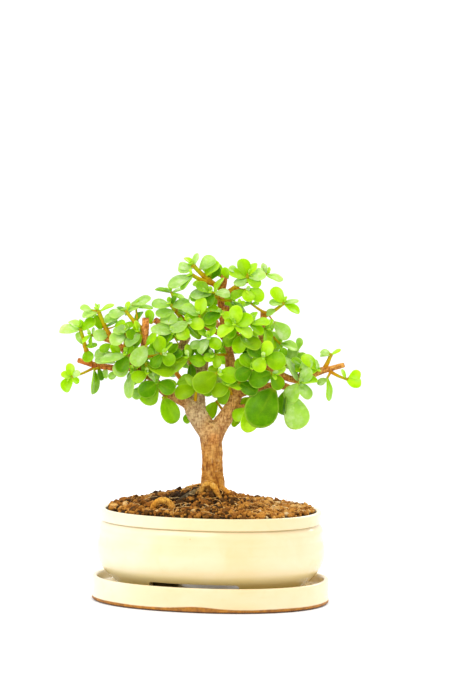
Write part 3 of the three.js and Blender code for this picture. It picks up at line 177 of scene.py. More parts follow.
# Shoots, as in the solids. First each shoot's stem: [base x, y, z, tip x, y, z, radius, leaves], then its
# branches: [share of the stem, tip x, y, z, radius, leaves]. Told leaves are [heading, lean, length, roll],
# and the share of the stem where it isn't the tip. Others are [length, pairs, turn].
SHOOTS = [
    [[45, 2, 162.6, 44.8, -11, 163, 1.9, [[238, 8, 34, 4]]]],
    [[57, 3.5, 160.3, 56.5, -8, 157.5, 1.7, [[288, 0, 27, 15]]]],
    [[-34, -6, 155.6, -39, -15, 153.8, 1.5, [[298, 8, 21, 4]]]],
    [[-9.7, 3, 168, 2, -18, 174, 1.8, [[215, 18, 22, 4], [250, 5, 17, 22, 0.72], [352, 15, 16, 10]]]],
    [[-42, -8.5, 162, -43.5, -20, 166, 1.6, [[216, 15, 16.5, 5], [237, -12, 20, 10, 0.9], [335, 18, 15, 8],
        [100, 0, 10, 49]]]],
    [[-54.5, -12, 189, -52, -23, 193.5, 1.4, [[238, 22, 18, 2], [55, 5, 12, 54]]]],
    [[37, -7, 178, 43, -18, 174, 1.5, [[200, 12, 19, 5], [30, 10, 11, 35], [300, 5, 14, 25, 0.85]]]],
    [[36, -5, 187, 35.5, -20, 187, 1.5, [[245, 25, 13, 8], [68, 15, 13, 22], [345, 22, 18, 12, 0.85],
        [165, 15, 14, 25, 0.85]]]],
    [[26, -6, 174.5, 27, -20, 178.5, 1.5, [[215, 18, 15, 8], [130, 10, 13, 35], [60, 10, 12, 49]]],
        [0.15, 17, -16, 166, 1.4, [[336, 15, 16, 25], [150, 15, 13, 20]]]],
    [[13, -4, 156, 10, -17, 165, 1.4, [[208, 18, 14.5, 15], [235, -8, 14, 30, 0.7], [30, 10, 11, 54]]]],
    [[-15, -2, 149, -14, -16, 162.5, 1.5, [[197, 15, 17, 12], [155, -5, 14, 54, 0.9], [60, 20, 10, 49]]]],
    [[-52, -8, 171, -52, -19, 180, 1.4, [[328, 15, 23, 49], [120, 5, 12, 54]]]],
    [[-17, 6, 175, -21, -14, 185, 1.5, [[212, 15, 20, 45], [345, 10, 14, 30], [95, 10, 12, 49, 0.8],
        [280, 10, 14, 49, 0.6]]]],
    [[-54.5, -11, 184, -40, -20, 187.5, 1.3, [[100, 18, 14, 12], [235, 28, 13, 22], [330, 20, 13, 18, 0.9],
        [50, -10, 12, 64]]]],
    [[-63, -8, 179, -67, -20, 186, 1.4, [[188, 5, 20, 69], [218, 28, 15, 12], [235, 18, 16, 8, 0.6],
        [70, 15, 10, 35]]]],
    [[-58, -8, 174.7, -61.5, -17, 174.5, 1.4, [[257, 5, 22, 59], [250, -25, 14, 64, 0.7], [30, 10, 9, 49]]]],
    [[-50, -8.5, 169.5, -51, -20, 173, 1.4, [[205, 18, 13, 10], [218, -5, 15, 59], [330, 20, 12, 35, 0.9]]]],
    [[-69, -7, 188.5, -67.5, -16, 203, 1.4, [[168, 10, 10, 49], [208, 28, 14, 28, 0.85], [25, -15, 11, 59],
        [90, 0, 7, 49]]]],
    [[-54, -14, 198, -57.5, -18, 203, 1.2, [[224, 12, 15, 47], [240, 38, 13, 8, 0.8], [110, 10, 10, 59]]]],
    [[-53.4, -13.5, 203, -68.5, -9, 218, 2, [[190, 15, 13.5, 51], [30, -12, 13.5, 55], [80, 0, 8, 49],
        [150, -30, 9, 64], [240, 25, 13, 47, 0.5], [60, -25, 11, 59, 0.5]]], [0.35, -61, -6, 221.5, 1.1,
        [[36, 0, 14, 75], [180, 0, 11, 69], [100, 0, 7, 59]]]],
    [[-77, -4.5, 193.5, -89, -7, 217.5, 2.3, [[28, 5, 13, 79], [196, 5, 13, 62], [176, -35, 14, 59],
        [28, 20, 11, 74, 0.55], [192, 32, 13, 8, 0.33], [110, -10, 7, 69]]]],
    [[-89, -3.2, 197, -94, -9, 199.5, 1.1, [[215, 10, 9, 67], [265, 0, 9, 69], [30, 20, 8, 64, 0.8]]]],
    [[-94, 0, 177, -102.3, -4, 203.5, 2.1, [[182, 5, 16.5, 61], [158, -25, 12, 49], [37, 10, 14.5, 45],
        [75, -10, 8, 51], [290, 54, 13, 0, 0.42], [25, 25, 10, 64, 0.55]]]],
    [[-89, 0, 175.5, -108.5, -5, 166.8, 1.2, [[107, 10, 10.5, 18], [165, 20, 9, 28], [240, -5, 13, 28],
        [50, 30, 8, 32], [315, 10, 7, 28]]]],
    [[-86, -1, 175.2, -91.5, -7, 173, 1.3, [[271, 5, 19, 69], [288, 10, 10, 54, 0.35]]]],
    [[-22, 4, 209, -35, -4, 223.3, 2, [[8, 15, 14.5, 51], [176, 15, 15, 55], [190, 30, 16, 57, 0.72],
        [70, 0, 8, 49], [240, 24, 14, 47, 0.45], [350, -20, 12, 59, 0.7]]], [0.47, -35, 6, 232.3, 1.2,
        [[340, 8, 11, 69], [20, -10, 10, 77], [167, -5, 13, 82], [110, 0, 7, 67]]]],
    [[-10, -9, 207.8, -13.5, -14, 217, 1.3, [[78, 10, 14, 26], [152, 12, 15, 47], [165, -15, 13, 30, 0.6],
        [350, 20, 12, 22, 0.5]]]],
    [[-23, 5, 205, -21, -14, 211.3, 1.6, [[205, 15, 15.5, 49], [350, 15, 12.5, 16], [233, 10, 15, 54, 0.75],
        [318, 5, 14, 51, 0.6], [90, 10, 8, 49]]]],
    [[-33, 2, 203, -33, -15, 203.5, 1.4, [[172, 18, 17, 55], [350, 20, 14, 30], [250, 20, 13, 49],
        [95, 10, 12, 49, 0.8]]]],
    [[2.6, 2.5, 226.5, -4, -9, 233.5, 1.5, [[200, 15, 17, 59], [186, 30, 16, 55], [250, 32, 12, 22],
        [224, -5, 13, 67, 0.9], [66, -12, 15, 74, 0.8], [15, 10, 9, 69, 0.8]]], [0.35, 10.5, -8, 227.5, 1.3,
        [[316, 8, 17, 61], [40, 10, 10, 54]]]],
    [[3.4, 3, 235, -19, 0, 253, 2.5, [[78, 0, 10, 57], [200, 25, 13, 33], [48, 10, 15.5, 50, 0.62],
        [60, -20, 13.5, 26, 0.45], [138, -20, 10, 59]]], [0.3, -19.5, -7, 246, 2.1, [[201, 10, 20, 62],
        [214, 25, 14, 70], [190, 12, 11, 65, 0.3]]]],
    [[3, 3, 230, 23, -3, 246, 2.4, [[163, 15, 15, 47], [112, 5, 14.5, 32], [10, 10, 14, 45],
        [198, 42, 13, 47, 0.94], [342, 38, 14, 47, 0.94], [48, -12, 12.5, 55], [184, 25, 13, 65, 0.22]]],
        [0.7, 36.5, 3, 247.5, 1.3, [[348, 8, 14, 62], [150, -10, 9, 67], [100, -10, 9, 60]]],
        [0.5, 21.5, -10, 236, 1.4, [[336, 10, 15.5, 30], [298, 35, 13, 22], [207, 22, 13, 45],
        [280, 45, 9, 18]]]],
    [[17, -8, 206, 13.5, -21, 211, 1.8, [[86, 15, 15, 22], [42, 20, 15, 28], [212, 22, 16, 45],
        [243, 38, 14, 18], [325, 22, 16, 54], [10, 10, 8, 57], [130, 20, 9, 30]]]],
    [[20, -9.5, 208.2, 26, -13, 211.5, 1.4, [[8, 12, 15, 59], [325, 20, 13, 47, 0.8], [65, -10, 10, 57],
        [110, 10, 9, 49]]]],
    [[6.5, -0.5, 220.5, 3.5, -13, 219, 1.3, [[212, 18, 16, 45], [145, 5, 11, 57], [330, 25, 12, 30]]]],
    [[13, -4.5, 202, 19, -15, 202.5, 1.5, [[322, 22, 19, 49], [262, 28, 15, 10], [300, 0, 16, 28, 0.75],
        [210, 10, 14, 28, 0.7]]]],
    [[-6, 4, 194, -6, -14, 200, 1.4, [[243, 18, 14, 45], [305, 28, 13, 18], [212, -5, 15, 28, 0.8],
        [228, 28, 12, 51, 0.6], [60, 10, 10, 57], [120, 10, 11, 54]]]],
    [[9, -2, 187, -1.5, -13, 187.5, 1.3, [[280, 18, 11, 32], [190, 20, 12, 30], [60, 15, 11, 49]]]],
    [[34, 0.5, 203.5, 37.5, -9, 207, 1.2, [[272, 28, 12, 51], [200, 20, 11, 51], [60, 0, 9, 59]]]],
    [[34.5, 2, 209.5, 48.5, 2, 195, 1.3, [[345, 5, 14, 55], [300, -8, 17, 22, 0.25], [60, -12, 9, 67],
        [250, 10, 11, 54, 0.6]]]],
    [[35, -1, 215.5, 50.5, -3, 226.5, 1.8, [[122, 5, 14.5, 33], [335, 5, 14, 54], [175, 15, 11, 59],
        [2, -10, 12, 71], [85, 0, 6, 59]]], [0.25, 25, -8, 226, 1.3, [[10, 0, 6, 59], [100, 0, 6, 67],
        [190, 0, 6, 67]]]],
    [[61, -3, 168.3, 63.5, -11, 167, 1.5, [[308, 18, 14.5, 28], [270, 12, 18, 30], [12, 8, 14, 67],
        [52, 15, 14, 32], [118, 0, 21, 69, 0.6]]]],
    [[77.5, -0.5, 175, 77, -9, 177.5, 1.4, [[169, 8, 17, 45], [196, 15, 15, 51], [100, 0, 8, 69]]]],
    [[82, 0, 177.5, 86.8, -2, 189, 2, [[184, -8, 8.5, 60], [36, 8, 8.5, 67]]]],
    [[84.5, 0, 176.5, 99, -3, 170, 1.5, [[343, 10, 12.5, 12], [115, 5, 8, 64]]], [0.14, 84, -7, 171, 1.2,
        [[279, 5, 18, 69]]]],
    [[23, -6.2, 147.8, 23.5, -13, 147, 1.3, [[285, 0, 18.5, 20], [240, -10, 13, 25, 0.8]]]],
    [[8, 14.5, 140.8, 1, 14, 150, 1.3, [[270, 0, 16, 8]]]],
    [[-47, -8, 167, -61, 20, 186, 1.7, [14, 4, 0]], [0.4, -44, 17, 181, 1.2, [14, 2, 30]]],
    [[45, -5, 174.5, 61, 19, 189, 1.7, [14, 4, 20]], [0.4, 43, 18, 187, 1.2, [14, 2, 0]]],
    [[-25, 20, 164, -44, 46, 189, 2, [15, 4, 20]], [0.35, -46, 27, 176, 1.3, [14, 2, 0]],
        [0.5, -25, 44, 188, 1.2, [14, 2, 30]]],
    [[24, 18, 171, 40, 46, 199, 2, [15, 4, 0]], [0.35, 46, 24, 184, 1.3, [14, 2, 30]],
        [0.5, 22, 44, 192, 1.2, [14, 2, 0]]],
    [[1, 15, 207.5, -8, 42, 227, 1.7, [14, 3, 0]], [0.35, -23, 29, 221, 1.1, [13, 2, 45]],
        [0.4, 15, 33, 221, 1.1, [13, 3, 20]]],
    [[11.5, 26, 152, 8, 52, 175, 1.9, [15, 3, 0]], [0.35, 26, 42, 165, 1.1, [14, 2, 45]],
        [0.4, -12, 44, 165, 1.1, [14, 2, 20]]],
]

# Small leaves between the shoots, each on a twig of its own from the nearest stem or limb:
# [x, y, z, heading, lean, length, roll, kind].
EXTRA_LEAVES = [
    [-2, -12, 233.5, 351, 15, 12, 45, "p"], [43, 0, 212, 311, 5, 17, 30, "p"],
    [67, -3, 178, 143, 10, 12, 55, "m"], [68, -4, 176.5, 176, 10, 10, 40, "b"],
    [-78.5, -7, 186, 190, 10, 13, 50, "p"], [-71.5, -12, 184.5, 133, 12, 11, 35, "l"],
    [-56, -17, 197, 149, 12, 13, 40, "m"], [-57, -15, 195, 180, 14, 12, 30, "d"],
    [-56, -13, 199, 120, 8, 11, 30, "b"], [-64.5, -12, 194, 135, 10, 11, 45, "p"],
    [-31, -12, 203.5, 173, 12, 16, 50, "p"], [-29.5, -11, 202, 199, 10, 14, 35, "m"],
    [-30, -15, 207.5, 315, 18, 13, 25, "l"], [10.5, -7, 226.5, 315, 10, 12, 35, "p"],
    [-15.5, -5, 191.5, 217, 12, 12, 20, "d"], [-7.5, -7, 229, 184, 12, 13, 45, "m"],
    [-5, 3, 245, 124, 0, 10, 25, "l"], [2, 6, 244, 112, -5, 11, 15, "b"], [20.5, -2, 251, 118, 0, 8, 40, "l"],
    [-45, -15, 179.5, 215, 15, 12, 20, "m"], [36.5, -8, 209, 288, 10, 12, 30, "m"],
    [-29, -10, 163.5, 25, 10, 13, 40, "l"], [7.5, -9, 188, 140, 15, 10, 35, "m"],
    [1, 10, 165, 275, 0, 13, 20, "p"], [-82, -3, 175, 262, 5, 9, 40, "p"],
    [-49.5, -10, 208.5, 100, 10, 11, 25, "b"], [-44, -8, 211, 8, 10, 15, 40, "p"],
    [-73, -8, 213, 192, 10, 12, 45, "p"], [-76.5, -10, 206, 25, 15, 9, 35, "l"],
    [-86.5, -6, 202.5, 108, 0, 12, 35, "m"], [-94, -6, 217.5, 165, 10, 9, 45, "p"],
    [-100, -4, 191.5, 120, 5, 10, 40, "p"], [-79, -12, 193, 215, 15, 10, 35, "m"],
    [-75, -10, 179, 172, 12, 16, 60, "p"], [-73, -10, 172.5, 222, 15, 9, 40, "p"],
    [-55.5, -14, 162, 242, 12, 11, 30, "p"], [-39, -14, 167, 334, 15, 11, 40, "l"],
    [-14, -1, 250, 39, 5, 14.5, 30, "p"], [-20.5, -3, 249.5, 152, 12, 10, 35, "p"],
    [8, 1, 243.5, 118, 5, 9, 30, "b"], [15.5, -3, 248, 152, 10, 8.5, 40, "p"],
    [35, 2, 247.5, 102, 0, 8, 40, "p"], [-64, -7, 222, 27, 0, 15.5, 60, "p"],
    [44, -3, 221.5, 212, 10, 8.5, 45, "p"], [52, -6, 160, 266, 5, 18, 50, "d"],
    [84.5, -2, 170, 205, 10, 9, 40, "p"], [87, -2, 187.5, 163, 0, 9, 50, "p"],
    [100, -4, 171.5, 20, 5, 10, 25, "l"], [5, -14, 171.5, 152, 15, 12, 35, "o"],
    [19, -13, 174, 103, 12, 11, 30, "b"], [-10.5, -12, 196.5, 206, 15, 10, 35, "p"],
    [-28.5, -12, 194.5, 222, 15, 10, 30, "m"], [-17.5, 8, 141, 236, 0, 9.5, 30, "m"],
    [20, 5, 137, 216, 0, 8.5, 35, "b"], [26, 4, 154, 226, 0, 9, 30, "m"],
    [-64, -15, 204, 176, 15, 11, 40, "p"], [-35, -12, 184, 24, 12, 11, 35, "d"],
    [63, -8, 178, 30, 8, 11, 35, "p"], [30, -10, 197, 205, 15, 12, 30, "d"],
]

# The kind of each told leaf, a word for each shoot of the front and the sides, as in the photo.
TOLD_KINDS = (
    "d p m omb dmdp pb dlm llmd dmldm oml olb ob omld bdml pdpb pdb bop pplb pml ppldbmlpl lppmpb lbp"
    " ppblmb llbpl md pppdbmlpml lpbm plbml pbml pmdblldb ppldlpbl lbppblmppmblml lblmlpb lblm dbl"
    " obdm pbddlb lbm bll pplb llppllll pplpp llp pl llb lb b"
).split()
# Kinds of leaf: how light the green is, how much pale bloom and painted reflection of the white room lies on
# it and how olive it is.
LEAF_KINDS = {
    "l": (0.86, 0, 0), "b": (0.6, 0, 0), "m": (0.36, 0, 0.05), "d": (0.14, 0, 0), "o": (0.32, 0, 0.3),
    "p": (0.5, 0.5, 0),
}

# How grey, red and golden the bark of each limb is. Less than no gold is dark bark.
BARK_TINTS = {
    "trunk": (0.1, 0.08, 0.25), "left_fork": (0.85, 0, 0), "right_fork": (0.1, 0.2, 0.1),
    "left_limb": (0.25, 0.3, 0), "left_rise": (0, 0.8, 0), "left_reach": (0, 0.95, 0),
    "left_post": (0, 0.8, 0.1), "grey_limb": (0.9, 0, 0), "grey_knuckle": (0.7, 0.2, 0),
    "grey_side": (0.1, 0.7, 0), "grey_inner": (0.75, 0.1, 0), "centre_left": (0, 0.8, 0.2),
    "centre_right": (0, 0.7, 0.3),
    "leader": (0, 1, 0), "leader_spur": (0, 1, 0), "right_limb": (0, 0.45, 0.2), "right_post": (0.2, 0.6, 0),
    "right_spur": (0, 0.3, 0), "right_low": (0.1, 0.35, 0.1), "right_twig": (0.1, 0.3, 0.1),
    "root_left": (1, 0, -1),
}
ROOT_TINT = (0, 0, 0.9)
BACK_TINT = (0.3, 0.3, 0)
OLD_WOOD = ("trunk", "left_fork", "right_fork")
BARE_ROOTS = ("root_arch", "root_loop")  # no granule lies against these
PINK_SPUR = "right_spur"
CUT_ENDS = ("left_post", "left_reach", "left_rise", "grey_limb", "grey_knuckle", "leader", "leader_spur",
            "right_post", "right_limb", PINK_SPUR, "grey_inner", "grey_side", "centre_left")

# ---------------------------------------------------------------- helpers
LIMB_STEP = 1.6
ANY_TURN = 6.3  # a whole turn and a little, in radians


def dice(seed):
    """Repeatable random numbers from 0 to 1, as the solids draw them."""
    state = seed

    def roll():
        nonlocal state
        state = (state * 1664525 + 1013904223) % 4294967296
        return state / 4294967296

    return roll


def unit(v):
    return v / np.linalg.norm(v)


def square_to(way, axis):
    return unit(way - axis * (way @ axis))


def clamp(value):
    return min(1, max(0, value))


def smooth_step(low, high, value):
    t = np.clip((value - low) / (high - low), 0, 1)
    return t * t * (3 - 2 * t)


def hump(value, middle, width):
    """1 at the middle, and less and less away from it."""
    return np.exp(-(((value - middle) / width) ** 2))


def circle(count, start=0):
    """Angles evenly round a circle."""
    return (np.arange(count) + start) / count * 2 * math.pi


def any_turn(roll, axis="Z"):
    return np.array(Matrix.Rotation(roll() * ANY_TURN, 3, axis))


def mesh_of(name, points, faces):
    """A mesh from points in millimetres and faces."""
    mesh = bpy.data.meshes.new(name)
    mesh.from_pydata((np.asarray(points) * MM).tolist(), [], faces)
    return mesh


def read(mesh, what):
    """Where a mesh's points are, for "co", or their normals, for "normal"."""
    flat = np.zeros(len(mesh.vertices) * 3, np.float32)
    mesh.vertices.foreach_get(what, flat)
    return flat.reshape(-1, 3).astype(float)


def points_of(mesh):
    """A mesh's points in millimetres."""
    return read(mesh, "co") / MM


def move_points(mesh, points):
    mesh.vertices.foreach_set("co", (np.asarray(points) * MM).astype(np.float32).ravel())
    mesh.update()


def piece(name, mesh, material, slot, stands_for=None, **floats):
    """A piece that rides on the one body, wears a material and may stand for a CAD node."""
    mesh.shade_smooth()
    for key, values in floats.items():
        mesh.attributes.new(key, "FLOAT", "POINT").data.foreach_set("value", np.asarray(values, np.float32))
    mesh.materials.clear()
    mesh.materials.append(material)
    made = placed(name, mesh)
    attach(made, "root")
    if stands_for:
        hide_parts(stands_for)
    return made


def with_modifiers(mesh, *modifiers):
    """The mesh after modifiers, each (kind, settings)."""
    scratch = placed("scratch", mesh)
    for kind, settings in modifiers:
        added = scratch.modifiers.new(kind.lower(), kind)
        for key, value in settings.items():
            setattr(added, key, value)
    graph = bpy.context.evaluated_depsgraph_get()
    made = bpy.data.meshes.new_from_object(scratch.evaluated_get(graph), depsgraph=graph)
    bpy.data.objects.remove(scratch)
    return made


class Soup:
    """Points, faces and point values gathered from many small forms."""

    def __init__(self, *keys):
        self.points, self.faces, self.count = [], [], 0
        self.values = {key: [] for key in keys}

    def add(self, points, faces, **values):
        self.points.append(points)
        self.faces += [[self.count + i for i in face] for face in faces]
        self.count += len(points)
        for key, kept in self.values.items():
            kept.append(np.broadcast_to(np.asarray(values.get(key, 0), float), len(points)))

    def mesh(self, name):
        return mesh_of(name, np.concatenate(self.points), self.faces)

    def piece(self, name, material, slot, stands_for=None):
        floats = {key: np.concatenate(kept) for key, kept in self.values.items()}
        return piece(name, self.mesh(name), material, slot, stands_for, **floats)


def spline(stops, step):
    """A Catmull-Rom curve through [x, y, z, radius] stops, about step apart: its points and radii."""
    stops = np.array(stops, float)
    ends = np.vstack([2 * stops[0] - stops[1], stops, 2 * stops[-1] - stops[-2]])
    found = []
    for i in range(len(stops) - 1):
        p0, p1, p2, p3 = ends[i:i + 4, :3]
        count = max(2, round(np.linalg.norm(p2 - p1) / step))
        for k in range(count + (i == len(stops) - 2)):
            t = k / count
            at = 0.5 * (2 * p1 + (p2 - p0) * t + (2 * p0 - 5 * p1 + 4 * p2 - p3) * t * t
                        + (3 * p1 - p0 - 3 * p2 + p3) * t ** 3)
            found.append((*at, stops[i][3] * (1 - t) + stops[i + 1][3] * t))
    found = np.array(found)
    return found[:, :3], found[:, 3]


def skin(rings, sides):
    """Faces over rings of points, and over the first and the last ring's centres, which follow them."""
    pairs = [(k, (k + 1) % sides) for k in range(sides)]
    top, first = (rings - 1) * sides, rings * sides
    faces = [(i + a, i + b, i + b + sides, i + a + sides) for i in range(0, top, sides) for a, b in pairs]
    for a, b in pairs:
        faces += [(first, b, a), (first + 1, top + a, top + b)]
    return faces


def tube(centres, radii, sides, shape=None):
    """Rings round a line of centres, closed at both ends. shape(i, angles) scales a ring's radii."""
    ahead = np.gradient(centres, axis=0)
    ahead /= np.linalg.norm(ahead, axis=1)[:, None]
    normal = unit(np.cross(ahead[0], (0, 0, 1) if abs(ahead[0][2]) < 0.9 else (0, 1, 0)))
    angles = circle(sides)
    points = []
    for i, centre in enumerate(centres):
        normal = square_to(normal, ahead[i])
        ring = radii[i] * (shape(i, angles) if shape else np.ones(sides))
        points.append(centre + np.outer(np.cos(angles) * ring, normal)
                      + np.outer(np.sin(angles) * ring, np.cross(ahead[i], normal)))
    return np.vstack([*points, centres[:1], centres[-1:]]), skin(len(centres), sides)


# ---------------------------------------------------------------- materials
def linear(colour):
    """A colour as seen, 0 to 255, in the linear values that a shader takes."""
    shares = [v / 255 for v in colour]
    return [v / 12.92 if v <= 0.04045 else ((v + 0.055) / 1.055) ** 2.4 for v in shares] + [1]


class Shader:
    """A material or a world under construction: its nodes, its links and the colour that layers build up."""

    def __init__(self, owner, kind="Material"):
        owner.use_nodes = True
        self.owner, self.tree = owner, owner.node_tree
        self.tree.nodes.clear()
        self.out = self.node("Output" + kind).inputs["Surface"]
        self.body = None

    def put(self, socket, value):
        """A node's output, a seen colour of three numbers, or a plain value into a socket."""
        if isinstance(value, bpy.types.NodeSocket):
            self.tree.links.new(value, socket)
        else:
            seen = socket.type == "RGBA" and len(value) == 3
            socket.default_value = linear(value) if seen else value

    def node(self, kind, inputs=None, **settings):
        made = self.tree.nodes.new("ShaderNode" + kind)
        for key, value in settings.items():
            setattr(made, key, value)
        for key, value in (inputs or {}).items():
            self.put(made.inputs[key], value)
        return made

    def axes(self, kind="Object"):
        return self.node("SeparateXYZ", {"Vector": self.node("TexCoord").outputs[kind]}).outputs

    def place(self, scale=(1, 1, 1)):
        spot = self.node("TexCoord").outputs["Object"]
        return self.node("Mapping", {"Vector": spot, "Scale": scale}).outputs[0]

    def noise(self, scale, detail=3, rough=0.55, stretch=(1, 1, 1), warp=0):
        return self.node("TexNoise", {
            "Vector": self.place(stretch), "Scale": scale, "Detail": detail, "Roughness": rough,
            "Distortion": warp,
        }).outputs["Fac"]

    def value(self, name):
        return self.node("Attribute", attribute_name=name).outputs["Fac"]

    def span(self, value, low, high, to_low=0, to_high=1, soft=False):
        return self.node("MapRange", {
            "Value": value, "From Min": low, "From Max": high, "To Min": to_low, "To Max": to_high,
        }, interpolation_type="SMOOTHSTEP" if soft else "LINEAR").outputs[0]

    def calc(self, operation, a, b):
        return self.node("Math", {0: a, 1: b}, operation=operation).outputs[0]

    def mix(self, share, a, b, blend="MIX"):
        return self.node("Mix", {0: share, 6: a, 7: b}, data_type="RGBA", blend_type=blend).outputs[2]

    def over(self, share, colour, blend="MIX"):
        """Lays a colour over the body by that share."""
        self.body = self.mix(share, self.body, colour, blend)

    def ramp(self, value, *stops):
        """Colours between stops of (value, red, green, blue)."""
        made = self.node("ValToRGB", {"Fac": value})
        kept = made.color_ramp.elements
        while len(kept) < len(stops):
            kept.new(0.5)
        for element, (place, *colour) in zip(kept, stops):
            element.position = place
            element.color = linear(colour)
        return made.outputs["Color"]

    def bump(self, height, distance, strength, before=None):
        inputs = {"Height": height, "Distance": distance * MM, "Strength": strength}
        if before:
            inputs["Normal"] = before
        return self.node("Bump", inputs).outputs[0]

    def finish(self, gloss, rough, normal, through=None, share=0, tint=(1, 1, 1, 1)):
        """The material, with light that comes through it by that share."""
        main = self.node("BsdfPrincipled", {
            "Base Color": self.body, "Roughness": rough, "Specular IOR Level": gloss, "Specular Tint": tint,
            "Normal": normal,
        }).outputs[0]
        if through:
            thin = self.node("BsdfTranslucent", {"Color": through}).outputs[0]
            main = self.node("MixShader", {0: share, 1: main, 2: thin}).outputs[0]
        self.put(self.out, main)
        return self.owner


def new_paint(name):
    return Shader(bpy.data.materials.new(name))


def leaf_material():
    s = new_paint("leaf_skin")
    tone = s.calc("ADD", s.value("tone"), s.span(s.noise(150, 3, 0.6), 0.2, 0.8, -0.2, 0.2))
    s.body = s.ramp(
        tone, (0, 50, 124, 0), (0.25, 98, 166, 0), (0.5, 150, 205, 0), (0.75, 180, 229, 2), (1, 212, 246, 52),
    )
    s.over(s.value("olive"), (180, 196, 0))
    s.over(s.span(s.noise(1500, 2, 0.6), 0.42, 0.72, 0, 0.14), (200, 236, 40))
    s.over(s.calc("MULTIPLY", s.value("vein"), 0.3), (214, 240, 50))
    # Pale margins: partly the leaf's own paler edge, partly painted rim light where light shines through the
    # edge.
    s.over(s.span(s.value("edge"), 0.86, 1, 0, 0.36, soft=True), (226, 250, 90))
    # Pale patches: partly waxy bloom, partly painted reflection and sheen of the white room.
    patches = s.span(s.noise(220, 3, 0.6), 0.42, 0.66, 0.55, 1.15, soft=True)
    s.over(s.calc("MULTIPLY", s.value("bloom"), patches), (236, 247, 198))
    s.over(s.value("stalk"), (206, 196, 50))
    fine = s.noise(900)
    normal = s.bump(s.noise(260, 2), 0.5, 0.4, s.bump(fine, 0.12, 0.35))
    return s.finish(0.42, s.span(fine, 0.3, 0.7, 0.26, 0.38), normal, s.mix(0.5, s.body, (210, 250, 0)), 0.4,
                    tint=(1, 1, 0.12, 1))


def stem_material():
    s = new_paint("young_stem")
    along = s.calc("ADD", s.value("along"), s.span(s.noise(160, 2), 0, 1, -0.3, 0.3))
    s.body = s.ramp(along, (0, 200, 118, 24), (0.3, 210, 154, 14), (0.7, 200, 180, 4), (1, 172, 202, 10))
    s.over(s.calc("MULTIPLY", s.value("node"), 0.6), (176, 96, 30))
    normal = s.bump(s.noise(700, stretch=(1, 1, 0.4)), 0.2, 0.5)
    return s.finish(0.1, 0.5, normal, s.mix(0.5, s.body, (230, 190, 20)), 0.2)


def bark_material():
    s = new_paint("bark")
    broad, grain = s.noise(110), s.noise(1100, 4, 0.65)
    rings = s.noise(430, 4, 0.66, stretch=(0.75, 0.75, 1.25))
    fissures = s.noise(520, 4, 0.62, stretch=(1.9, 1.9, 0.3))
    height, relief = s.axes()[2], s.value("relief")

    def patchy(low, high, pattern=broad, start=0.3):
        return s.ramp(pattern, (start, *low), (0.7, *high))

    s.body = s.ramp(broad, (0.25, 180, 122, 46), (0.5, 210, 151, 69), (0.75, 230, 180, 100))
    crotch = s.calc("SUBTRACT", s.span(height, 0.113, 0.126, 0, 0.6), s.span(height, 0.136, 0.15, 0, 0.6))
    s.over(s.calc("MAXIMUM", s.value("grey"), crotch), patchy((188, 164, 120), (236, 216, 170)))
    s.over(s.value("red"), patchy((220, 124, 50), (250, 172, 84)))
    s.over(s.span(height, 0.08, 0.104, 0.75, 0, soft=True), (214, 204, 112), "MULTIPLY")
    s.over(s.value("gold"), patchy((246, 170, 40), (255, 208, 96)))
    s.over(s.value("pink"), (240, 140, 116))
    s.over(s.value("dark"), patchy((50, 44, 30), (104, 92, 66)))
    s.over(s.span(height, 0.112, 0.146, 0.5, 0, soft=True), (234, 220, 204), "MULTIPLY")
    s.over(s.span(fissures, 0.34, 0.52, 0.75, 0), (140, 88, 40), "MULTIPLY")
    s.over(s.span(rings, 0.34, 0.56, 0.5, 0), (150, 98, 50), "MULTIPLY")
    s.over(s.span(relief, -0.6, 0.05, 0.5, 0), (160, 106, 60), "MULTIPLY")
    s.over(s.span(relief, 0.2, 0.8, 0, 0.35), (240, 204, 150))
    s.over(s.value("cut"), patchy((110, 56, 30), (186, 112, 70), s.noise(900), 0.35))
    normal = s.bump(rings, 0.7, 0.7, s.bump(grain, 0.25, 0.6))
    return s.finish(0.16, s.span(grain, 0.3, 0.7, 0.62, 0.85), normal)


def soil_material():
    s = new_paint("clay_granules")
    s.body = s.ramp(
        s.calc("ADD", s.value("tone"), s.span(s.noise(420), 0, 1, -0.16, 0.16)),
        (0, 54, 34, 8), (0.2, 104, 66, 18), (0.42, 172, 108, 36), (0.64, 214, 148, 58), (0.84, 238, 188, 108),
        (1, 248, 218, 160),
    )
    pits = s.noise(1700, 4, 0.65)
    s.over(s.span(pits, 0.34, 0.56, 0.65, 0), (70, 38, 16), "MULTIPLY")
    return s.finish(0.2, 0.92, s.bump(pits, 0.55, 0.9, s.bump(s.noise(620, 2), 0.6, 0.5)))


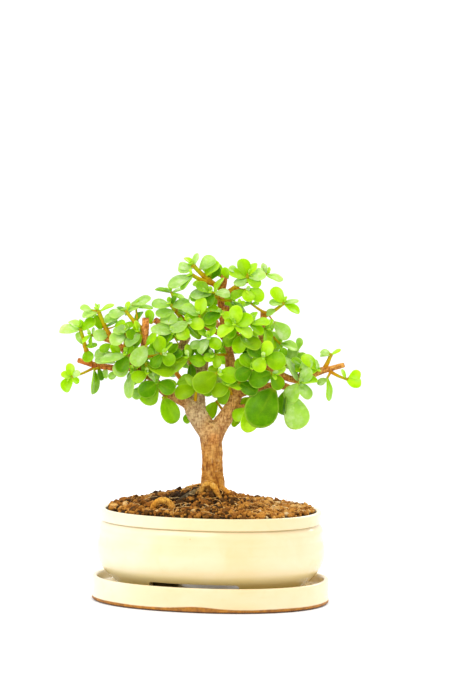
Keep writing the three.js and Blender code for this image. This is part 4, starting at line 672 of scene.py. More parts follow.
def glaze(name, clay_edge):
    """Cream glaze that flows and pools, with painted light and shade in its colour. On the tray it stops
    above an edge of bare clay.
    """
    s = new_paint(name)
    along, _, height = s.axes()
    flow = s.noise(26, 3, 0.5, stretch=(1, 1, 1.6), warp=0.6)
    s.body = s.ramp(flow, (0.3, 232, 209, 158), (0.5, 238, 218, 176), (0.72, 242, 226, 194))
    # Painted light: paler towards the left end, where the light falls, and browner past the middle, as
    # painted shade.
    s.over(0.5, s.ramp(
        s.span(along, -0.09, 0.09), (0.05, 250, 244, 218), (0.25, 244, 233, 198), (0.5, 237, 216, 168),
        (0.75, 232, 206, 148), (0.95, 240, 222, 180),
    ))
    if not clay_edge:
        # Painted shade: darker and more olive low on the pot's belly, towards the tray.
        s.over(s.span(height, 0.011, 0.034, 1, 0, soft=True), (188, 168, 84))
    s.over(s.span(s.noise(150, 4), 0.56, 0.76, 0, 0.16), (228, 202, 134))
    pinholes = s.node("TexVoronoi", {"Vector": s.place(), "Scale": 85, "Randomness": 1}).outputs
    spot = s.span(pinholes["Distance"], 0.015, 0.045, 0.7, 0)
    rare = s.span(s.node("SeparateColor", {"Color": pinholes["Color"]}).outputs[0], 0.86, 0.9)
    s.over(s.calc("MULTIPLY", spot, rare), (150, 106, 62))
    rough = s.span(flow, 0.3, 0.7, 0.12, 0.24)
    if clay_edge:
        edge = s.calc("ADD", s.value("clay"), s.span(s.noise(170), 0, 1, -0.25, 0.25))
        bare = s.span(s.calc("SUBTRACT", edge, s.calc("MULTIPLY", height, 1 / MM)), -0.3, 0.3)
        s.over(bare, s.ramp(s.noise(260, 4, 0.6), (0.3, 130, 76, 2), (0.7, 192, 124, 14)))
        s.over(s.span(height, 0.0006, 0.0014, 0.75, 0, soft=True), (70, 40, 14))
        rough = s.calc("MAXIMUM", rough, s.calc("MULTIPLY", bare, 0.62))
    else:
        # A brown line under the rim: partly glaze pooled in the groove, partly painted shadow of the rim's
        # lower edge.
        s.over(s.value("groove"), (158, 134, 78))
    return s.finish(0.55, rough, s.bump(s.noise(60, 2, 0.4), 0.7, 0.35, s.bump(s.noise(700, 2), 0.05, 0.25)))


def plastic_material():
    s = new_paint("mesh_plastic")
    s.body = s.ramp(s.noise(300), (0.3, 38.7, 38.7, 38.7), (0.7, 63.2, 63.2, 63.2))
    return s.finish(0.5, 0.6, s.bump(s.noise(1200, 2), 0.1, 0.3))


LEAF_SKIN = leaf_material()
YOUNG_STEM = stem_material()
BARK = bark_material()
SOIL_SKIN = soil_material()
POT_GLAZE = glaze("pot_glaze", clay_edge=False)
TRAY_GLAZE = glaze("tray_glaze", clay_edge=True)
PLASTIC = plastic_material()
for side in ("left", "right"):
    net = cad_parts["drain_mesh_" + side].data
    net.materials.clear()
    net.materials.append(PLASTIC)


# ---------------------------------------------------------------- tray and pot
SMOOTH_SIDES = 180
CORNER_CUT = 0.22
GROOVE = {"at": 59.9, "width": 0.55, "depth": 0.8}
RECESS = {"in": 21.5, "sides": 90}  # the hollow under the pot, inside its foot


def oval_spot(angle, half):
    """A point of the oval plan with that half length."""
    x, y = (np.sign(v) * np.abs(v) ** (2 / OVAL_POWER) for v in (np.cos(angle), np.sin(angle)))
    return x * half, y * half * OVAL_RATIO


def oval_ring(angles, half, z):
    return np.stack([*oval_spot(angles, half), np.full(len(angles), float(z))], 1)


def softened(profile):
    """A profile with its corners cut twice, which rounds them."""
    line = np.array(profile, float)
    for _ in range(2):
        near, far = (1 - CORNER_CUT), CORNER_CUT
        cuts = [near * line[:-1] + far * line[1:], far * line[:-1] + near * line[1:]]
        line = np.vstack([line[:1], np.stack(cuts, 1).reshape(-1, 2), line[-1:]])
    return line


def divided(line, longest):
    """The same line with no stretch longer than that."""
    found = [line[0]]
    for a, b in zip(line[:-1], line[1:]):
        count = max(1, math.ceil(np.linalg.norm(b - a) / longest))
        found.extend(a + (b - a) * k / count for k in range(1, count + 1))
    return np.array(found)


def turned(name, line, sides=SMOOTH_SIDES):
    """A closed form from a line of [half length, height] points that starts and ends on the axis."""
    rings = [oval_ring(circle(sides, 0.5), half, z) for half, z in line[1:-1]]
    ends = [(0, 0, line[0][1]), (0, 0, line[-1][1])]
    return mesh_of(name, np.vstack([*rings, ends]), skin(len(rings), sides))


def handmade(mesh, amount):
    """Leaves a turned form a little uneven, as thrown and glazed clay is. It only ever shrinks."""
    points = points_of(mesh)
    for p in points:
        wave = noise.noise(Vector(p) * 0.022) + 0.4 * noise.noise(Vector(p) * 0.07)
        reach = math.hypot(p[0], p[1])
        if reach > 1:
            p[:2] *= 1 - amount * (0.5 + 0.5 * wave) / reach
    move_points(mesh, points)


def make_tray():
    a, top, floor = TRAY["half"], TRAY["height"], TRAY["floor"]
    inner = a - TRAY["wall"]
    line = softened([
        (0, 0), (a - 2.6, 0), (a - 1.4, 0.1), (a - 0.5, 0.7), (a - 0.25, 1.5), (a - 0.65, 5), (a - 0.65, 10),
        (a - 0.3, top - 2.4), (a - 0.6, top - 0.9), (a - 1.5, top - 0.3), (inner + 1.2, top - 0.3),
        (inner + 0.2, top - 1), (inner - 0.2, top - 2.2), (inner - 1.2, floor + 2),
        (inner - 2.2, floor + 0.6), (inner - 4, floor + 0.05), (0, floor + 0.05),
    ])
    mesh = turned("drip_tray_fine", divided(line, 9))
    handmade(mesh, 0.3)
    x, y, _ = points_of(mesh).T
    uneven = np.array([noise.noise((2 * math.cos(v), 2 * math.sin(v), 7)) for v in np.arctan2(y, x)])
    clay = 2.8 + 0.4 * uneven + 1.6 * hump(x, 3, 17) * (y < 0)  # how high the bare clay reaches
    piece("tray_with_clay_edge", mesh, TRAY_GLAZE, "tray_glaze", "drip_tray", clay=clay)


def rounded_box(width, depth, height, z, radius):
    """A box from z upwards with rounded upright and upper edges."""
    mesh = bpy.data.meshes.new("cut")
    form = bmesh.new()
    bmesh.ops.create_cube(form, size=1)
    for v in form.verts:
        v.co = (v.co.x * width, v.co.y * depth, (v.co.z + 0.5) * height + z)
        v.co *= MM
    edges = [e for e in form.edges if max(v.co.z for v in e.verts) > (z + height / 2) * MM]
    bmesh.ops.bevel(form, geom=edges, offset=radius * MM, segments=4, affect="EDGES", profile=0.5)
    form.to_mesh(mesh)
    form.free()
    return mesh


def make_pot():
    a, top = POT["half"], POT["rim_top"]
    mouth = a - POT["rim"]
    line = softened([
        (0, POT_BASE), (a - 16.8, POT_BASE), (a - 15.7, POT_BASE + 0.3), (a - 15.0, POT_BASE + 1.2),
        (a - 13.7, 12.9), (a - 11.3, 15.2), (a - 7.8, 18.1), (a - 4.4, 21.1), (a - 2.2, 23.6),
        (a - 0.2, 26.8), (a + 2, 31.8), (a + 3.1, 36.8), (a + 3.1, 41.5), (a + 2.2, 45.5), (a + 1.5, 48.5),
        (a + 1.5, 51.5), (a + 1.3, 54.5), (a + 0.2, 57), (a - 1.4, 58.8), (a - 1.9, 59.6), (a - 1.5, 60.2),
        (a - 0.3, 60.5), (a - 0.05, 61.4), (a - 0.15, 65), (a, top - 1.8), (a - 0.5, top - 0.6),
        (a - 1.6, top - 0.1), (mouth + 1.1, top - 0.2), (mouth + 0.2, top - 0.9), (mouth, top - 2.4),
        (mouth, 57), (mouth + 1.4, 40), (mouth - 3, 28), (mouth - 11.5, POT_FLOOR), (0, POT_FLOOR),
    ])
    body = turned("pot_fine", divided(line, 7))
    handmade(body, 0.25)
    below, inside = POT_BASE - 1, a - RECESS["in"]
    recess = [(0, below), (inside, below), (inside, POT_UNDERSIDE), (0, POT_UNDERSIDE)]
    cutters = [
        turned("recess", recess, RECESS["sides"]),
        rounded_box(FOOT_ARCH, 2 * a, POT["foot"] + 1, below, 2.5),
    ]
    sides = DRAIN["sides"]
    faces = [(k, (k + 1) % sides, sides + (k + 1) % sides, sides + k) for k in range(sides)]
    faces += [list(range(sides))[::-1], list(range(sides, 2 * sides))]
    x, y = DRAIN["radius"] * np.cos(circle(sides)), DRAIN["radius"] * np.sin(circle(sides))
    for middle in (-DRAIN["spacing"] / 2, DRAIN["spacing"] / 2):
        rings = [np.stack([x + middle, y, np.full(sides, z)], 1) for z in (POT_UNDERSIDE - 4, POT_FLOOR + 4)]
        cutters.append(mesh_of("drain", np.vstack(rings), faces))
    for cut in cutters:
        tool = placed("cutter", cut)
        settings = {"operation": "DIFFERENCE", "object": tool, "solver": "EXACT"}
        body = with_modifiers(body, ("BOOLEAN", settings))
        bpy.data.objects.remove(tool)
    x, y, z = points_of(body).T
    outside = np.hypot(x / a, y / (a * OVAL_RATIO)) > 0.94
    body.set_sharp_from_angle(angle=math.radians(40))
    # The groove value marks that line of pooled glaze and painted shadow under the rim; it is colour only,
    # not a cut.
    groove = GROOVE["depth"] * hump(z, GROOVE["at"], GROOVE["width"]) * outside
    piece("pot_glazed", body, POT_GLAZE, "pot_glaze", "pot", groove=groove)


# ---------------------------------------------------------------- soil
SOIL_REACH = POT["half"] - POT["rim"] - 0.9
BED = {"sides": 120, "rings": 34, "below": 1.3, "rough": 0.9, "edge_top": 68.2}
CRUMB = {"rough": 0.42, "chips": 7}
FINE = {"levels": 2, "forms": 36, "size": 1.25, "spread": 1.2, "step": 3.15, "jitter": 1.7}
COARSE = {"levels": 3, "forms": 14, "size": 1.8, "spread": 1.7, "count": 330}
ROW_STEP = 0.866  # between the rows of a triangular grid of step 1
BRIGHT_SHARE = 0.14  # of the granules
STRAWS = {"count": 150, "shortest": 4, "spread": 9, "radius": 0.2, "over": 1.6, "sides": 5}


def mound(x, y):
    """How high the soil lies: flat at the edge, and heaped round the trunk."""
    away = np.hypot(x / np.where(x < 0, SOIL["left"], SOIL["right"]), y / SOIL["deep"])
    edge = np.minimum(1, np.hypot(x / POT["half"], y / (POT["half"] * OVAL_RATIO)) + 0.05)
    crown = SOIL["crown"] * np.exp(-(away ** 1.5)) * (1 - edge ** 4)
    return SOIL["edge"] + SOIL["heap"] * (1 - edge ** 8) + crown


def make_soil_bed():
    """The body of the soil: a rough top over the pot's inside."""
    angles = circle(BED["sides"])
    stack = []
    for i in range(1, BED["rings"] + 1):
        x, y = oval_spot(angles, SOIL_REACH * i / BED["rings"])
        z = mound(x, y) - BED["below"]
        z += [BED["rough"] * noise.noise((px * 0.3, py * 0.3, 3)) for px, py in zip(x, y)]
        stack.append(np.stack([x, y, np.minimum(z, BED["edge_top"]) if i == BED["rings"] else z], 1))
    for outer, z in ((0, 57), (1.2, 40), (-3.2, 28), (-11.6, POT_FLOOR)):
        stack.append(oval_ring(angles, SOIL_REACH + outer, z))
    points = np.vstack([*stack, [(0, 0, mound(0.0, 0.0) - BED["below"]), (0, 0, POT_FLOOR)]])
    faces = [(first, *reversed(rest)) for first, *rest in skin(len(stack), BED["sides"])]
    # Painted shade: the bed is nearly black, standing in for the shade in the gaps between the granules.
    tone = [0.02 + 0.06 * noise.noise(Vector(p) * 0.2) for p in points]
    piece("soil_bed", mesh_of("soil_bed", points, faces), SOIL_SKIN, "soil", "soil", tone=tone)


def ball(levels):
    """An icosahedral ball's unit points and faces."""
    form = bmesh.new()
    bmesh.ops.create_icosphere(form, subdivisions=levels, radius=1)
    form.verts.ensure_lookup_table()
    points = np.array([v.co for v in form.verts])
    faces = [[v.index for v in f.verts] for f in form.faces]
    form.free()
    return points, faces


def crumb(points, roll):
    """A ball's points made into one uneven granule of unit size, with chips off it."""
    shift = Vector((roll() * 90, roll() * 90, roll() * 90))
    bumps = np.array([noise.noise(Vector(p) * 1.3 + shift) + 0.5 * noise.noise(Vector(p) * 3 + shift)
                      for p in points])
    made = points * (1 + CRUMB["rough"] * bumps)[:, None]
    made = made * (0.85 + 0.3 * roll(), 0.85 + 0.3 * roll(), 0.7 + 0.25 * roll())
    for _ in range(CRUMB["chips"]):
        way = unit(np.array([roll() - 0.5, roll() - 0.5, roll() - 0.5]))
        over = np.maximum(0, made @ way - (0.5 + 0.3 * roll()))
        made = made - 0.9 * over[:, None] * way
    return made @ (any_turn(roll, "X") @ any_turn(roll)).T


def granule_paling(x, y):
    """How much paler the granules are: paler towards the right, and darker beside the left root."""
    dark_patch = math.exp(-(((x + 22) / 12) ** 2) - ((y + 16) / 13) ** 2)
    return 0.2 * float(smooth_step(15, 60, x)) - 0.5 * dark_patch


def make_granules():
    roll = dice(4241)
    bare, sizes = zip(*(spline(LIMBS[name], LIMB_STEP) for name in BARE_ROOTS))
    bare, sizes = np.vstack(bare) @ TREE.T, np.concatenate(sizes)
    (fine, fine_faces), (coarse, coarse_faces) = (ball(kind["levels"]) for kind in (FINE, COARSE))
    fine = [crumb(fine, roll) for _ in range(FINE["forms"])]
    coarse = [crumb(coarse, roll) for _ in range(COARSE["forms"])]
    fine_soup, coarse_soup = Soup("tone"), Soup("tone")

    def any_of(forms):
        return forms[int(roll() * len(forms))] @ any_turn(roll).T

    def lay(soup, form, faces, size, at, tone):
        if (np.linalg.norm(bare - at, axis=1) - sizes).min() > 0.75 * size:
            soup.add(form * size + at, faces, tone=tone + granule_paling(*at[:2]))

    wide, deep, step = SOIL_REACH, SOIL_REACH * OVAL_RATIO, FINE["step"]
    spots = []
    for row in range(int(2 * deep / (step * ROW_STEP)) + 1):
        for col in range(int(2 * wide / step) + 1):
            x, y = -wide + (col + 0.5 * (row % 2)) * step, -deep + row * step * ROW_STEP
            spots.append((x + FINE["jitter"] * (roll() - 0.5), y + FINE["jitter"] * (roll() - 0.5)))
    for x, y in spots:
        size = FINE["size"] + FINE["spread"] * roll() ** 1.6
        room = 1 - 0.55 * size / deep
        if (abs(x) / wide) ** OVAL_POWER + (abs(y) / deep) ** OVAL_POWER > room ** OVAL_POWER:
            continue
        z = float(mound(x, y)) - 1.0 + 1.3 * roll()
        tone = 0.02 + 0.66 * roll() + (0.3 * roll() if roll() < BRIGHT_SHARE else 0)
        lay(fine_soup, any_of(fine), fine_faces, size, (x, y, z), tone)
    for _ in range(COARSE["count"]):
        x, y = oval_spot(roll() * 2 * math.pi, (wide - 4) * math.sqrt(roll()))
        size = COARSE["size"] + COARSE["spread"] * roll() ** 2
        form = any_of(coarse)
        tone = 0.06 + 0.62 * roll() + (0.25 if roll() < BRIGHT_SHARE else 0)
        lay(coarse_soup, form, coarse_faces, size, (x, y, float(mound(x, y)) + 0.15 * size), tone)
    fine_soup.piece("soil_granules", SOIL_SKIN, "soil")
    coarse_soup.piece("soil_granules_coarse", SOIL_SKIN, "soil")


def make_straws():
    """Fine dry roots and straws that lie over the granules."""
    roll = dice(909)
    soup = Soup("tone")
    for _ in range(STRAWS["count"]):
        x, y = oval_spot(roll() * 2 * math.pi, (POT["half"] - 12) * math.sqrt(roll()))
        heading, bend, lift = roll() * 2 * math.pi, 2.4 * (roll() - 0.5), 0.8 * roll()
        length = STRAWS["shortest"] + STRAWS["spread"] * roll()
        stops = []
        for share in (-0.5, -0.25, 0, 0.25, 0.5):
            turn = heading + bend * share
            px, py = x + length * share * math.cos(turn), y + length * share * math.sin(turn)
            pz = float(mound(px, py)) + STRAWS["over"] + lift * (1 - 4 * share * share)
            stops.append((px, py, pz, STRAWS["radius"]))
        line, radii = spline(stops, 1.2)
        points, faces = tube(line, radii * (0.7 + 0.6 * roll()), STRAWS["sides"])
        soup.add(points, faces, tone=0.72 + 0.28 * roll())
    soup.piece("straws", SOIL_SKIN, "soil")


# ---------------------------------------------------------------- wood
WOOD = {"voxel": 0.62, "smoothings": 3, "thick": 6, "sides": 16, "thick_sides": 28, "blend": 1.6}
CHUNK = 4000  # points at a time, to spare memory


def make_wood():
    """The limbs joined into one form, with bark relief, tints and sawn ends."""
    soup = Soup()
    centres, sizes, tints, owners = [], [], [], []
    for number, (name, stops) in enumerate(LIMBS.items()):
        line, radii = spline(stops, LIMB_STEP)
        phase = dice(31 * number + 5)() * ANY_TURN
        wave = 0.05 if name in OLD_WOOD else 0.03

        def lobed(i, angles, phase=phase, wave=wave):
            return (1 + wave * np.cos(3 * angles + phase + i * 0.12)
                    + 0.6 * wave * np.cos(5 * angles - 2 * phase - i * 0.17))

        sides = WOOD["thick_sides" if radii.max() > WOOD["thick"] else "sides"]
        soup.add(*tube(line, radii, sides, lobed))
        tint = BARK_TINTS.get(name, ROOT_TINT if name.startswith("root") else BACK_TINT)
        for kept, values in ((centres, line), (sizes, radii), (tints, [tint] * len(line)),
                             (owners, [name] * len(line))):
            kept.extend(values)
    centres, sizes, tints, owners = (np.array(kept) for kept in (centres, sizes, tints, owners))
    joined = with_modifiers(
        soup.mesh("wood"), ("REMESH", {"mode": "VOXEL", "voxel_size": WOOD["voxel"] * MM}),
        ("SMOOTH", {"factor": 0.5, "iterations": WOOD["smoothings"]}),
    )
    points, normals = points_of(joined), read(joined, "normal")
    nearest = np.zeros(len(points), int)
    weights = np.zeros((len(points), 3))
    for low in range(0, len(points), CHUNK):
        part = slice(low, low + CHUNK)
        gap = np.linalg.norm(points[part, None] - centres[None], axis=2) - sizes
        nearest[part] = gap.argmin(1)
        near = np.exp(-(gap - gap.min(1)[:, None]) / WOOD["blend"])
        weights[part] = near @ tints / near.sum(1)[:, None]
    size, owner = sizes[nearest], owners[nearest]
    cut, pink = np.zeros(len(points)), np.zeros(len(points))
    for name in CUT_ENDS:
        *end, radius = LIMBS[name][-1]
        ahead = unit(np.array(end, float) - LIMBS[name][-2][:3])
        away = points - end
        along = away @ ahead
        radial = np.linalg.norm(away - np.outer(along, ahead), axis=1)
        face = smooth_step(-1.0, -0.3, along) * (normals @ ahead > 0.35) * (radial < radius * 1.4)
        cut = np.maximum(cut, face)
        points -= np.outer(face * 0.5 * np.clip(1 - (radial / (0.8 * radius)) ** 2, 0, 1), ahead)
        if name == PINK_SPUR:
            pink = smooth_step(-9, -4, along) * (owner == name)
    relief = np.zeros(len(points))
    for i, p in enumerate(points):
        x, y, z = p
        fine = 1 / max(2.0, size[i] * 0.5)
        ring = noise.noise((x * 0.14, y * 0.14, z * 0.5))
        scaly = noise.noise((x * 0.5 * fine * 3, y * 0.5 * fine * 3, z * fine * 1.6))
        relief[i] = 0.4 * (0.35 - 2 * abs(ring)) + 0.9 * scaly + 0.5 * noise.noise(Vector(p) * 0.11)
    points += normals * (relief * np.clip(0.055 * size, 0.08, 0.45) * (1 - cut))[:, None]
    move_points(joined, points @ TREE.T)
    patch = hump(points[:, 0], 1, 4) * hump(points[:, 2], 124, 4) * (points[:, 1] < 0)
    grey, red, gold = weights.T
    piece("trunk_limbs_and_surface_roots", joined, BARK, "bark", "trunk_limbs_and_roots", grey=grey,
          red=np.clip(red + 0.5 * patch, 0, 1), gold=np.clip(gold, 0, 1), dark=np.clip(-gold, 0, 1),
          relief=relief, cut=cut, pink=pink)


# ---------------------------------------------------------------- leafy shoots
RIM = 28  # points round a leaf
RINGS = (0.3, 0.58, 0.8, 0.94)
LEAF_HEART = 0.58  # how far along a leaf its rings centre
LEAF_MIDDLE = 0.6  # how far along a leaf its look is settled
OUTLINE = {"at": (-2, 185), "half": (105, 75)}  # the crown's outline from the front, x and z
YOUNG_PAIRS = ((0.42, 30), (0.24, 16))  # share of a leaf's length, and spread
TWIG = {"radius": 0.75, "sides": 8}
TIP_MATCH = 0.04  # how near a leaf's tip lies to its solid's
TIP_ROOM = 1.5  # how far inside the box the easing starts
AS_TOLD = (0, 0, 1)  # no bend


class Curve:
    """A quadratic curve that sags a little before it rises to its tip."""

    def __init__(self, base, tip):
        self.base, self.tip = np.array(base, float), np.array(tip, float)
        self.length = np.linalg.norm(self.base - self.tip)
        self.middle = (self.base + self.tip) / 2
        self.middle[2] -= STEM_SAG * self.length

    def point(self, t):
        return (1 - t) ** 2 * self.base + 2 * t * (1 - t) * self.middle + t * t * self.tip

    def ahead(self, t):
        return unit(2 * (1 - t) * (self.middle - self.base) + 2 * t * (self.tip - self.middle))


def stems_of(shoot):
    """Each stem's curve, radius and leaves."""
    first, *branches = shoot
    main = Curve(first[:3], first[3:6])
    return [(main, *first[6:])] + [(Curve(main.point(b[0]), b[1:4]), *b[4:]) for b in branches]


def leaf_places(curve, leaves, seed):
    roll = dice(seed)
    if isinstance(leaves[0], list):
        return told_leaves(curve, leaves, roll)
    return paired_leaves(curve, *leaves, roll)


def paired_leaves(curve, length, pairs, turn, roll):
    """Crossed pairs of leaves along a stem, the last of them young."""
    places = []
    for pair in range(pairs):
        along = FIRST_LEAVES + (LAST_LEAVES - FIRST_LEAVES) * pair / (pairs - 1)
        young = pairs > 2 and pair == pairs - 1
        for side in range(2):
            places.append({
                "at": curve.point(along), "along": along, "stem": curve.ahead(along), "young": young,
                "swing": turn + 90 * pair + 180 * side + 24 * (roll() - 0.5),
                "spread": (TIP_SPREAD if young else SPREAD) + 16 * (roll() - 0.5),
                "length": length * (YOUNG_SIZE if young else 1) * (0.84 + 0.26 * roll()),
                "width": LEAF["width"] * (0.92 + 0.16 * roll()),
                "light": TURN_TO_LIGHT["least"] + TURN_TO_LIGHT["spread"] * roll(),
            })
    return places


def told_place(at, heading, lean, length, turn, roll, **more):
    return {"at": at, "heading": heading, "lean": lean, "length": length, "roll": turn,
            "width": LEAF["width"] * (0.92 + 0.16 * roll()), "young": length < 11, **more}


def told_leaves(curve, leaves, roll):
    """Leaves told one by one, at the stem's tip unless they say how far along it."""
    places = []
    for *facts, along in (leaf if len(leaf) > 4 else [*leaf, 1] for leaf in leaves):
        along = min(along, 1 - LEAF_HOLD / curve.length)
        places.append(told_place(curve.point(along), *facts, roll, along=along))
    return places


def paired_way(place, bend):
    """Where a leaf of a pair points, and where its face looks."""
    swing, spread = math.radians(place["swing"] + bend[0]), math.radians(place["spread"] + bend[1])
    stem = place["stem"]
    across = unit(np.cross(NEARLY_UP, stem))
    away = across * math.cos(swing) + np.cross(stem, across) * math.sin(swing)
    axis = stem * math.cos(spread) + away * math.sin(spread)
    axis[2] -= DROOP * place["length"] / 14
    axis = unit(axis)
    light = unit((place["at"] - CROWN_HEART) * LIGHT_SHARES)
    light[2] += 0.2
    return axis, square_to(stem * (1 - place["light"]) + light * place["light"], axis)


def told_way(place, bend):
    """The same for a told leaf."""
    heading, lean = math.radians(place["heading"] + bend[0]), math.radians(place["lean"] + bend[1])
    turn, flat = math.radians(place["roll"]), math.cos(lean)
    axis = np.array((flat * math.cos(heading), -math.sin(lean), flat * math.sin(heading)))
    front = square_to(np.array((0.0, -1.0, 0.0)), axis)
    upper = np.cross(axis, front)
    if upper[2] < 0:
        upper = -upper
    return axis, front * math.cos(turn) + upper * math.sin(turn)


def leaf_frame(place, bend=AS_TOLD):
    axis, face = paired_way(place, bend) if "stem" in place else told_way(place, bend)
    return {"at": place["at"], "axis": axis, "face": face, "side": np.cross(face, axis),
            "length": place["length"] * bend[2], "width": place["width"], "young": place["young"]}


def leaf_shape():
    """A flat leaf of unit length: place along it, place across it in half widths, ring share and face."""
    angles = circle(RIM)
    along = 0.5 - 0.5 * np.cos(angles)
    across = along ** 0.82 * np.sqrt(np.clip(1 - along, 0, 1)) / 0.417 + 0.05 * (1 - along) ** 8
    across *= np.where(angles <= math.pi, 1, -1)
    across[np.isclose(angles, math.pi)] = 0
    rows = []
    for sheet in (1, -1):
        rows.append([[LEAF_HEART], [0], [0], [sheet]])
        for ring in RINGS:
            inward = LEAF_HEART + (along - LEAF_HEART) * ring
            rows.append([inward, across * ring, [ring] * RIM, [sheet] * RIM])
    rows.append([along, across, np.ones(RIM), np.zeros(RIM)])
    edge = 2 * (1 + RIM * len(RINGS))
    faces = []
    for base, way in ((0, 1), (edge // 2, -1)):
        starts = [base + 1 + RIM * i for i in range(len(RINGS))] + [edge]
        for k in range(RIM):
            after = (k + 1) % RIM
            faces.append((base, starts[0] + after, starts[0] + k)[::way])
            for low, high in zip(starts[:-1], starts[1:]):
                faces.append((low + k, low + after, high + after, high + k)[::way])
    return [np.concatenate(values).astype(float) for values in zip(*rows)], faces


(LEAF_ALONG, LEAF_ACROSS, LEAF_SHARE, LEAF_SHEET), LEAF_FACES = leaf_shape()


def leaf_points(leaf, roll):
    """A fleshy leaf in its frame, with its own curl."""
    length = leaf["length"]
    half, thick = leaf["width"] * length / 2, max(1.1, LEAF["thickness"] * length) / 2
    cup = LEAF["cup"] + 0.16 * (roll() - 0.3)
    curl = LEAF["recurve"] + 0.07 * (roll() - 0.5)
    sway, wave, phase = 0.07 * (roll() - 0.5), 0.02 + 0.03 * roll(), roll() * ANY_TURN
    u, v, upper = LEAF_ALONG, LEAF_ACROSS, LEAF_SHEET > 0
    crease = hump(v, 0, 0.13) * (1 - u) * np.clip(u * 6, 0, 1)
    z = LEAF_SHEET * thick * (1 - LEAF_SHARE ** 2.6) ** 0.55 * np.where(upper, 1, 0.85)
    z += length * (cup * v * v - curl * u * u - np.where(upper, 0.05, 0.016) * crease)
    z += wave * length * LEAF_SHARE ** 2 * np.sin(3 * u * math.pi + phase) * np.abs(v) * 0.6
    y = v * half * (1 + 0.05 * np.sin(5 * u + phase)) + sway * length * u * u
    return (leaf["at"] + np.outer(u * length, leaf["axis"]) + np.outer(y, leaf["side"])
            + np.outer(z, leaf["face"]))


def leaf_look(leaf, roll):
    """How light a leaf is, how much bloom and painted sheen lies on it and how olive it is: as told, or by
    where it is.
    """
    x, y, z = leaf["at"] + leaf["axis"] * leaf["length"] * LEAF_MIDDLE
    if "kind" in leaf:
        tone, bloom, olive = LEAF_KINDS[leaf["kind"]]
        tone, bloom = tone + (0.14 + 0.26 * bloom) * (roll() - 0.5), bloom * (0.7 + 0.5 * roll())
        # Painted light: leaves near the crown's outline get more pale patch and a lighter tone, a painted
        # glare.
        outward = np.hypot(*((np.array((x, z)) - OUTLINE["at"]) / OUTLINE["half"]))
        outer = clamp((outward - 0.7) / 0.3)
        bloom *= 1 + 0.5 * outer
        return tone + 0.25 * outer * bloom, bloom, olive
    # The outer and upper leaves are the lightest, and the youngest: young leaves are paler, and the lightness
    # by height and outwardness is painted light on the crown's top and outside, with painted shade inside.
    out = math.hypot((x + 2) / 100, (y - 4) / 60)
    tone = 0.12 + 0.36 * clamp((z - 150) / 95) + 0.3 * min(1, out) + 0.6 * (roll() - 0.5)
    bloom = 0.4 + 0.5 * roll() if roll() < 0.3 else 0.1 * roll()
    return clamp(tone + 0.25 * leaf["young"]), bloom, 0.3 * max(0, roll() - 0.6)


def add_leaf(soup, leaf, roll):
    tone, bloom, olive = leaf_look(leaf, roll)
    tone = tone + 0.3 * (roll() - 0.25) * (LEAF_ALONG - 0.5) + 0.2 * (roll() - 0.5) * LEAF_ACROSS
    # Painted highlight: a glossy patch on one side of each leaf, laid into its pale patches.
    side = 0.5 if roll() < 0.5 else -0.5
    sheen = hump(LEAF_ACROSS, side, 0.42) * hump(LEAF_ALONG, 0.45 + 0.3 * roll(), 0.26)
    soup.add(
        leaf_points(leaf, roll), LEAF_FACES, tone=tone, edge=LEAF_SHARE, olive=olive,
        vein=hump(LEAF_ACROSS, 0, 0.07) * (1 - LEAF_ALONG) * (LEAF_SHEET >= 0),
        bloom=bloom * (0.75 + 0.5 * sheen) + sheen * (0.05 + 0.3 * np.clip(tone - 0.3, 0, 1)),
        stalk=np.clip(1 - LEAF_ALONG / 0.1, 0, 1),
    )


def stem_tube(curve, radius, places=(), sides=10):
    """A young stem with a slight swelling where leaves grow."""
    t = np.linspace(0, 1, max(8, round(curve.length / 1.1)) + 1)
    node = np.zeros(len(t))
    for place in places:
        node = np.maximum(node, hump((t - place["along"]) * curve.length, 0, 0.9))
    radii = radius * (1 - STEM_TAPER * t) * (0.94 + 0.16 * node)
    points, faces = tube(np.array([curve.point(v) for v in t]), radii, sides)
    return points, faces, [*np.repeat(t, sides), 0, 1], [*np.repeat(node, sides), 0, 0]


def chosen_bend(place, corners):
    """The bend that the solids gave this leaf, found by where its tip is, or None if it was left out."""
    for bend in BENDS:
        leaf = leaf_frame(place, bend)
        tip = leaf["at"] + leaf["length"] * (leaf["axis"] - LEAF["recurve"] * leaf["face"])
        if np.abs(corners - TREE @ tip).max(1).min() < TIP_MATCH:
            return bend
    return None


def young_tip(curve, roll):
    """Two small pairs of new leaves at the very tip of a stem."""
    turn = 45 + 90 * roll()
    leaves = []
    for pair, (share, spread) in enumerate(YOUNG_PAIRS):
        for side in range(2):
            leaves.append(leaf_frame({
                "at": curve.point(1), "stem": curve.ahead(1), "spread": spread + 10 * roll(),
                "swing": turn + 90 * pair + 180 * side + 20 * roll(), "young": True, "light": 0.4,
                "length": 12 * share * (0.8 + 0.4 * roll()), "width": 0.66,
            }))
    return leaves


def eased_in(points):
    """The outermost leaf tips bend in a little, and so stay inside the box of the solids."""
    for corner, way in zip(cad_box, (-1, 1)):
        past = np.maximum(way * (points[:, 0] - corner[0] / MM) + TIP_ROOM, 0)
        points[:, 0] -= way * (past - TIP_ROOM * np.tanh(past / TIP_ROOM))
    return points


def finish_shoot(name, leaves, tubes, roll, node=None):
    """One piece with the shoot's stems and leaves, each with its own material."""
    soup = Soup("tone", "edge", "vein", "bloom", "olive", "stalk", "along", "node")
    for leaf in leaves:
        add_leaf(soup, leaf, roll)
    leaf_faces = len(soup.faces)
    for points, faces, along, swelling in tubes:
        soup.add(points, faces, along=along, node=swelling)
    soup.points = [eased_in(p @ TREE.T) for p in soup.points]
    mesh = soup.piece(name, LEAF_SKIN, "leaf", node).data
    mesh.materials.append(YOUNG_STEM)
    mesh.polygons.foreach_set("material_index", (np.arange(len(soup.faces)) >= leaf_faces).astype(np.int32))


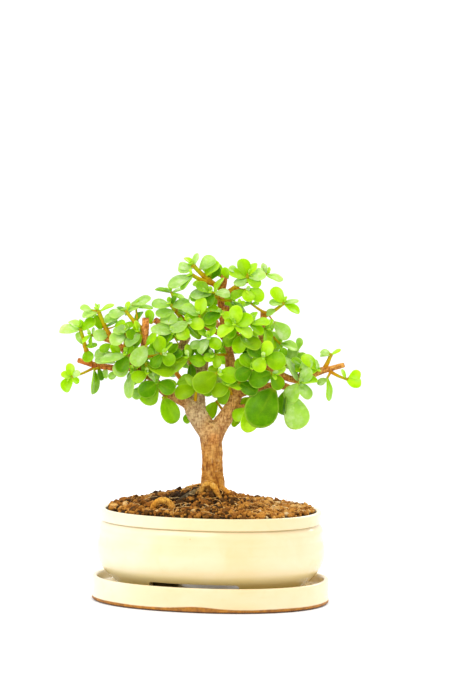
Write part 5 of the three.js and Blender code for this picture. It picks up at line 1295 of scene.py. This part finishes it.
def make_extra_leaves(curves):
    """The small leaves between the shoots."""
    roll = dice(77)
    held = [spline(stops, 2)[0] for stops in LIMBS.values()]
    held = np.vstack(held + [[curve.point(t) for t in np.linspace(0.1, 1, 8)] for curve in curves])
    leaves, tubes = [], []
    for x, y, z, *facts, kind in EXTRA_LEAVES:
        at = np.array((x, y, z), float)
        leaves.append({**leaf_frame(told_place(at, *facts, roll)), "kind": kind})
        root = held[np.linalg.norm(held - at, axis=1).argmin()]
        tubes.append(stem_tube(Curve(root, at), TWIG["radius"], sides=TWIG["sides"]))
    finish_shoot("extra_leaves", leaves, tubes, roll)


def make_shoots():
    curves = []
    for number, shoot in enumerate(SHOOTS):
        node = f"leafy_shoot_{number + 1:02d}"
        corners = points_of(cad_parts[node].data)
        roll = dice(500 + 17 * number)
        leaves, tubes = [], []
        kinds = iter(TOLD_KINDS[number] if number < len(TOLD_KINDS) else "")
        for branch, (curve, radius, told) in enumerate(stems_of(shoot)):
            places = leaf_places(curve, told, 1000 * number + 10 * branch + 7)
            for place in places:
                bend, kind = chosen_bend(place, corners), next(kinds, None)
                if bend:
                    leaves.append(leaf_frame(place, bend) | ({"kind": kind} if kind else {}))
            if len(places) > 2:
                leaves.extend(young_tip(curve, roll))
            tubes.append(stem_tube(curve, radius, places))
            curves.append(curve)
        finish_shoot(f"shoot_{number + 1:02d}", leaves, tubes, roll, node)
    make_extra_leaves(curves)


# ---------------------------------------------------------------- floor and light
FLOOR_REACH = 14.0
ROOM = {"front": 0.78, "back": 1.12, "top": 0.5}  # strengths of its light
LAMPS = {"key": ((-0.35, -0.8, 0.95), 0.7, 5.0), "back": ((0.3, 0.8, 0.75), 0.6, 4.0)}  # place, size, watts
LIT_SPOT = Vector((0, 0, 0.12))


def make_stage():
    corners = [(x * FLOOR_REACH, y * FLOOR_REACH, 0) for x, y in ((-1, -1), (1, -1), (1, 1), (-1, 1))]
    mesh = bpy.data.meshes.new("floor")
    mesh.from_pydata(corners, [], [(0, 1, 2, 3)])
    pale = new_paint("pale_floor")
    matt = {"Base Color": (0.93, 0.93, 0.93, 1), "Roughness": 0.8, "Specular IOR Level": 0.2}
    pale.put(pale.out, pale.node("BsdfPrincipled", matt).outputs[0])
    mesh.materials.append(pale.owner)
    floor = placed("floor", mesh)
    floor.location.z = -0.2 * MM

    # A white room, brightest overhead and behind the plant, and dimmer on the camera's side.
    world = bpy.context.scene.world = bpy.data.worlds.new("studio")
    sky = Shader(world, "World")
    _, behind, above = sky.axes("Generated")
    strength = sky.calc("ADD", sky.span(behind, -0.9, 0.7, ROOM["front"], ROOM["back"]),
                        sky.span(above, 0.1, 1, 0, ROOM["top"]))
    light = sky.node("Background", {"Color": (1, 1, 1, 1), "Strength": strength})
    sky.put(sky.out, light.outputs[0])

    for name, (at, size, power) in LAMPS.items():
        data = bpy.data.lights.new(name, "AREA")
        data.size, data.energy = size, power
        lamp = placed(name, data)
        lamp.location = at
        lamp.rotation_euler = (LIT_SPOT - Vector(at)).to_track_quat("-Z", "Y").to_euler()
    view = bpy.context.scene.view_settings
    view.view_transform, view.look = "Standard", "None"


make_stage()
make_tray()
make_pot()
make_soil_bed()
make_granules()
make_straws()
make_wood()
make_shoots()
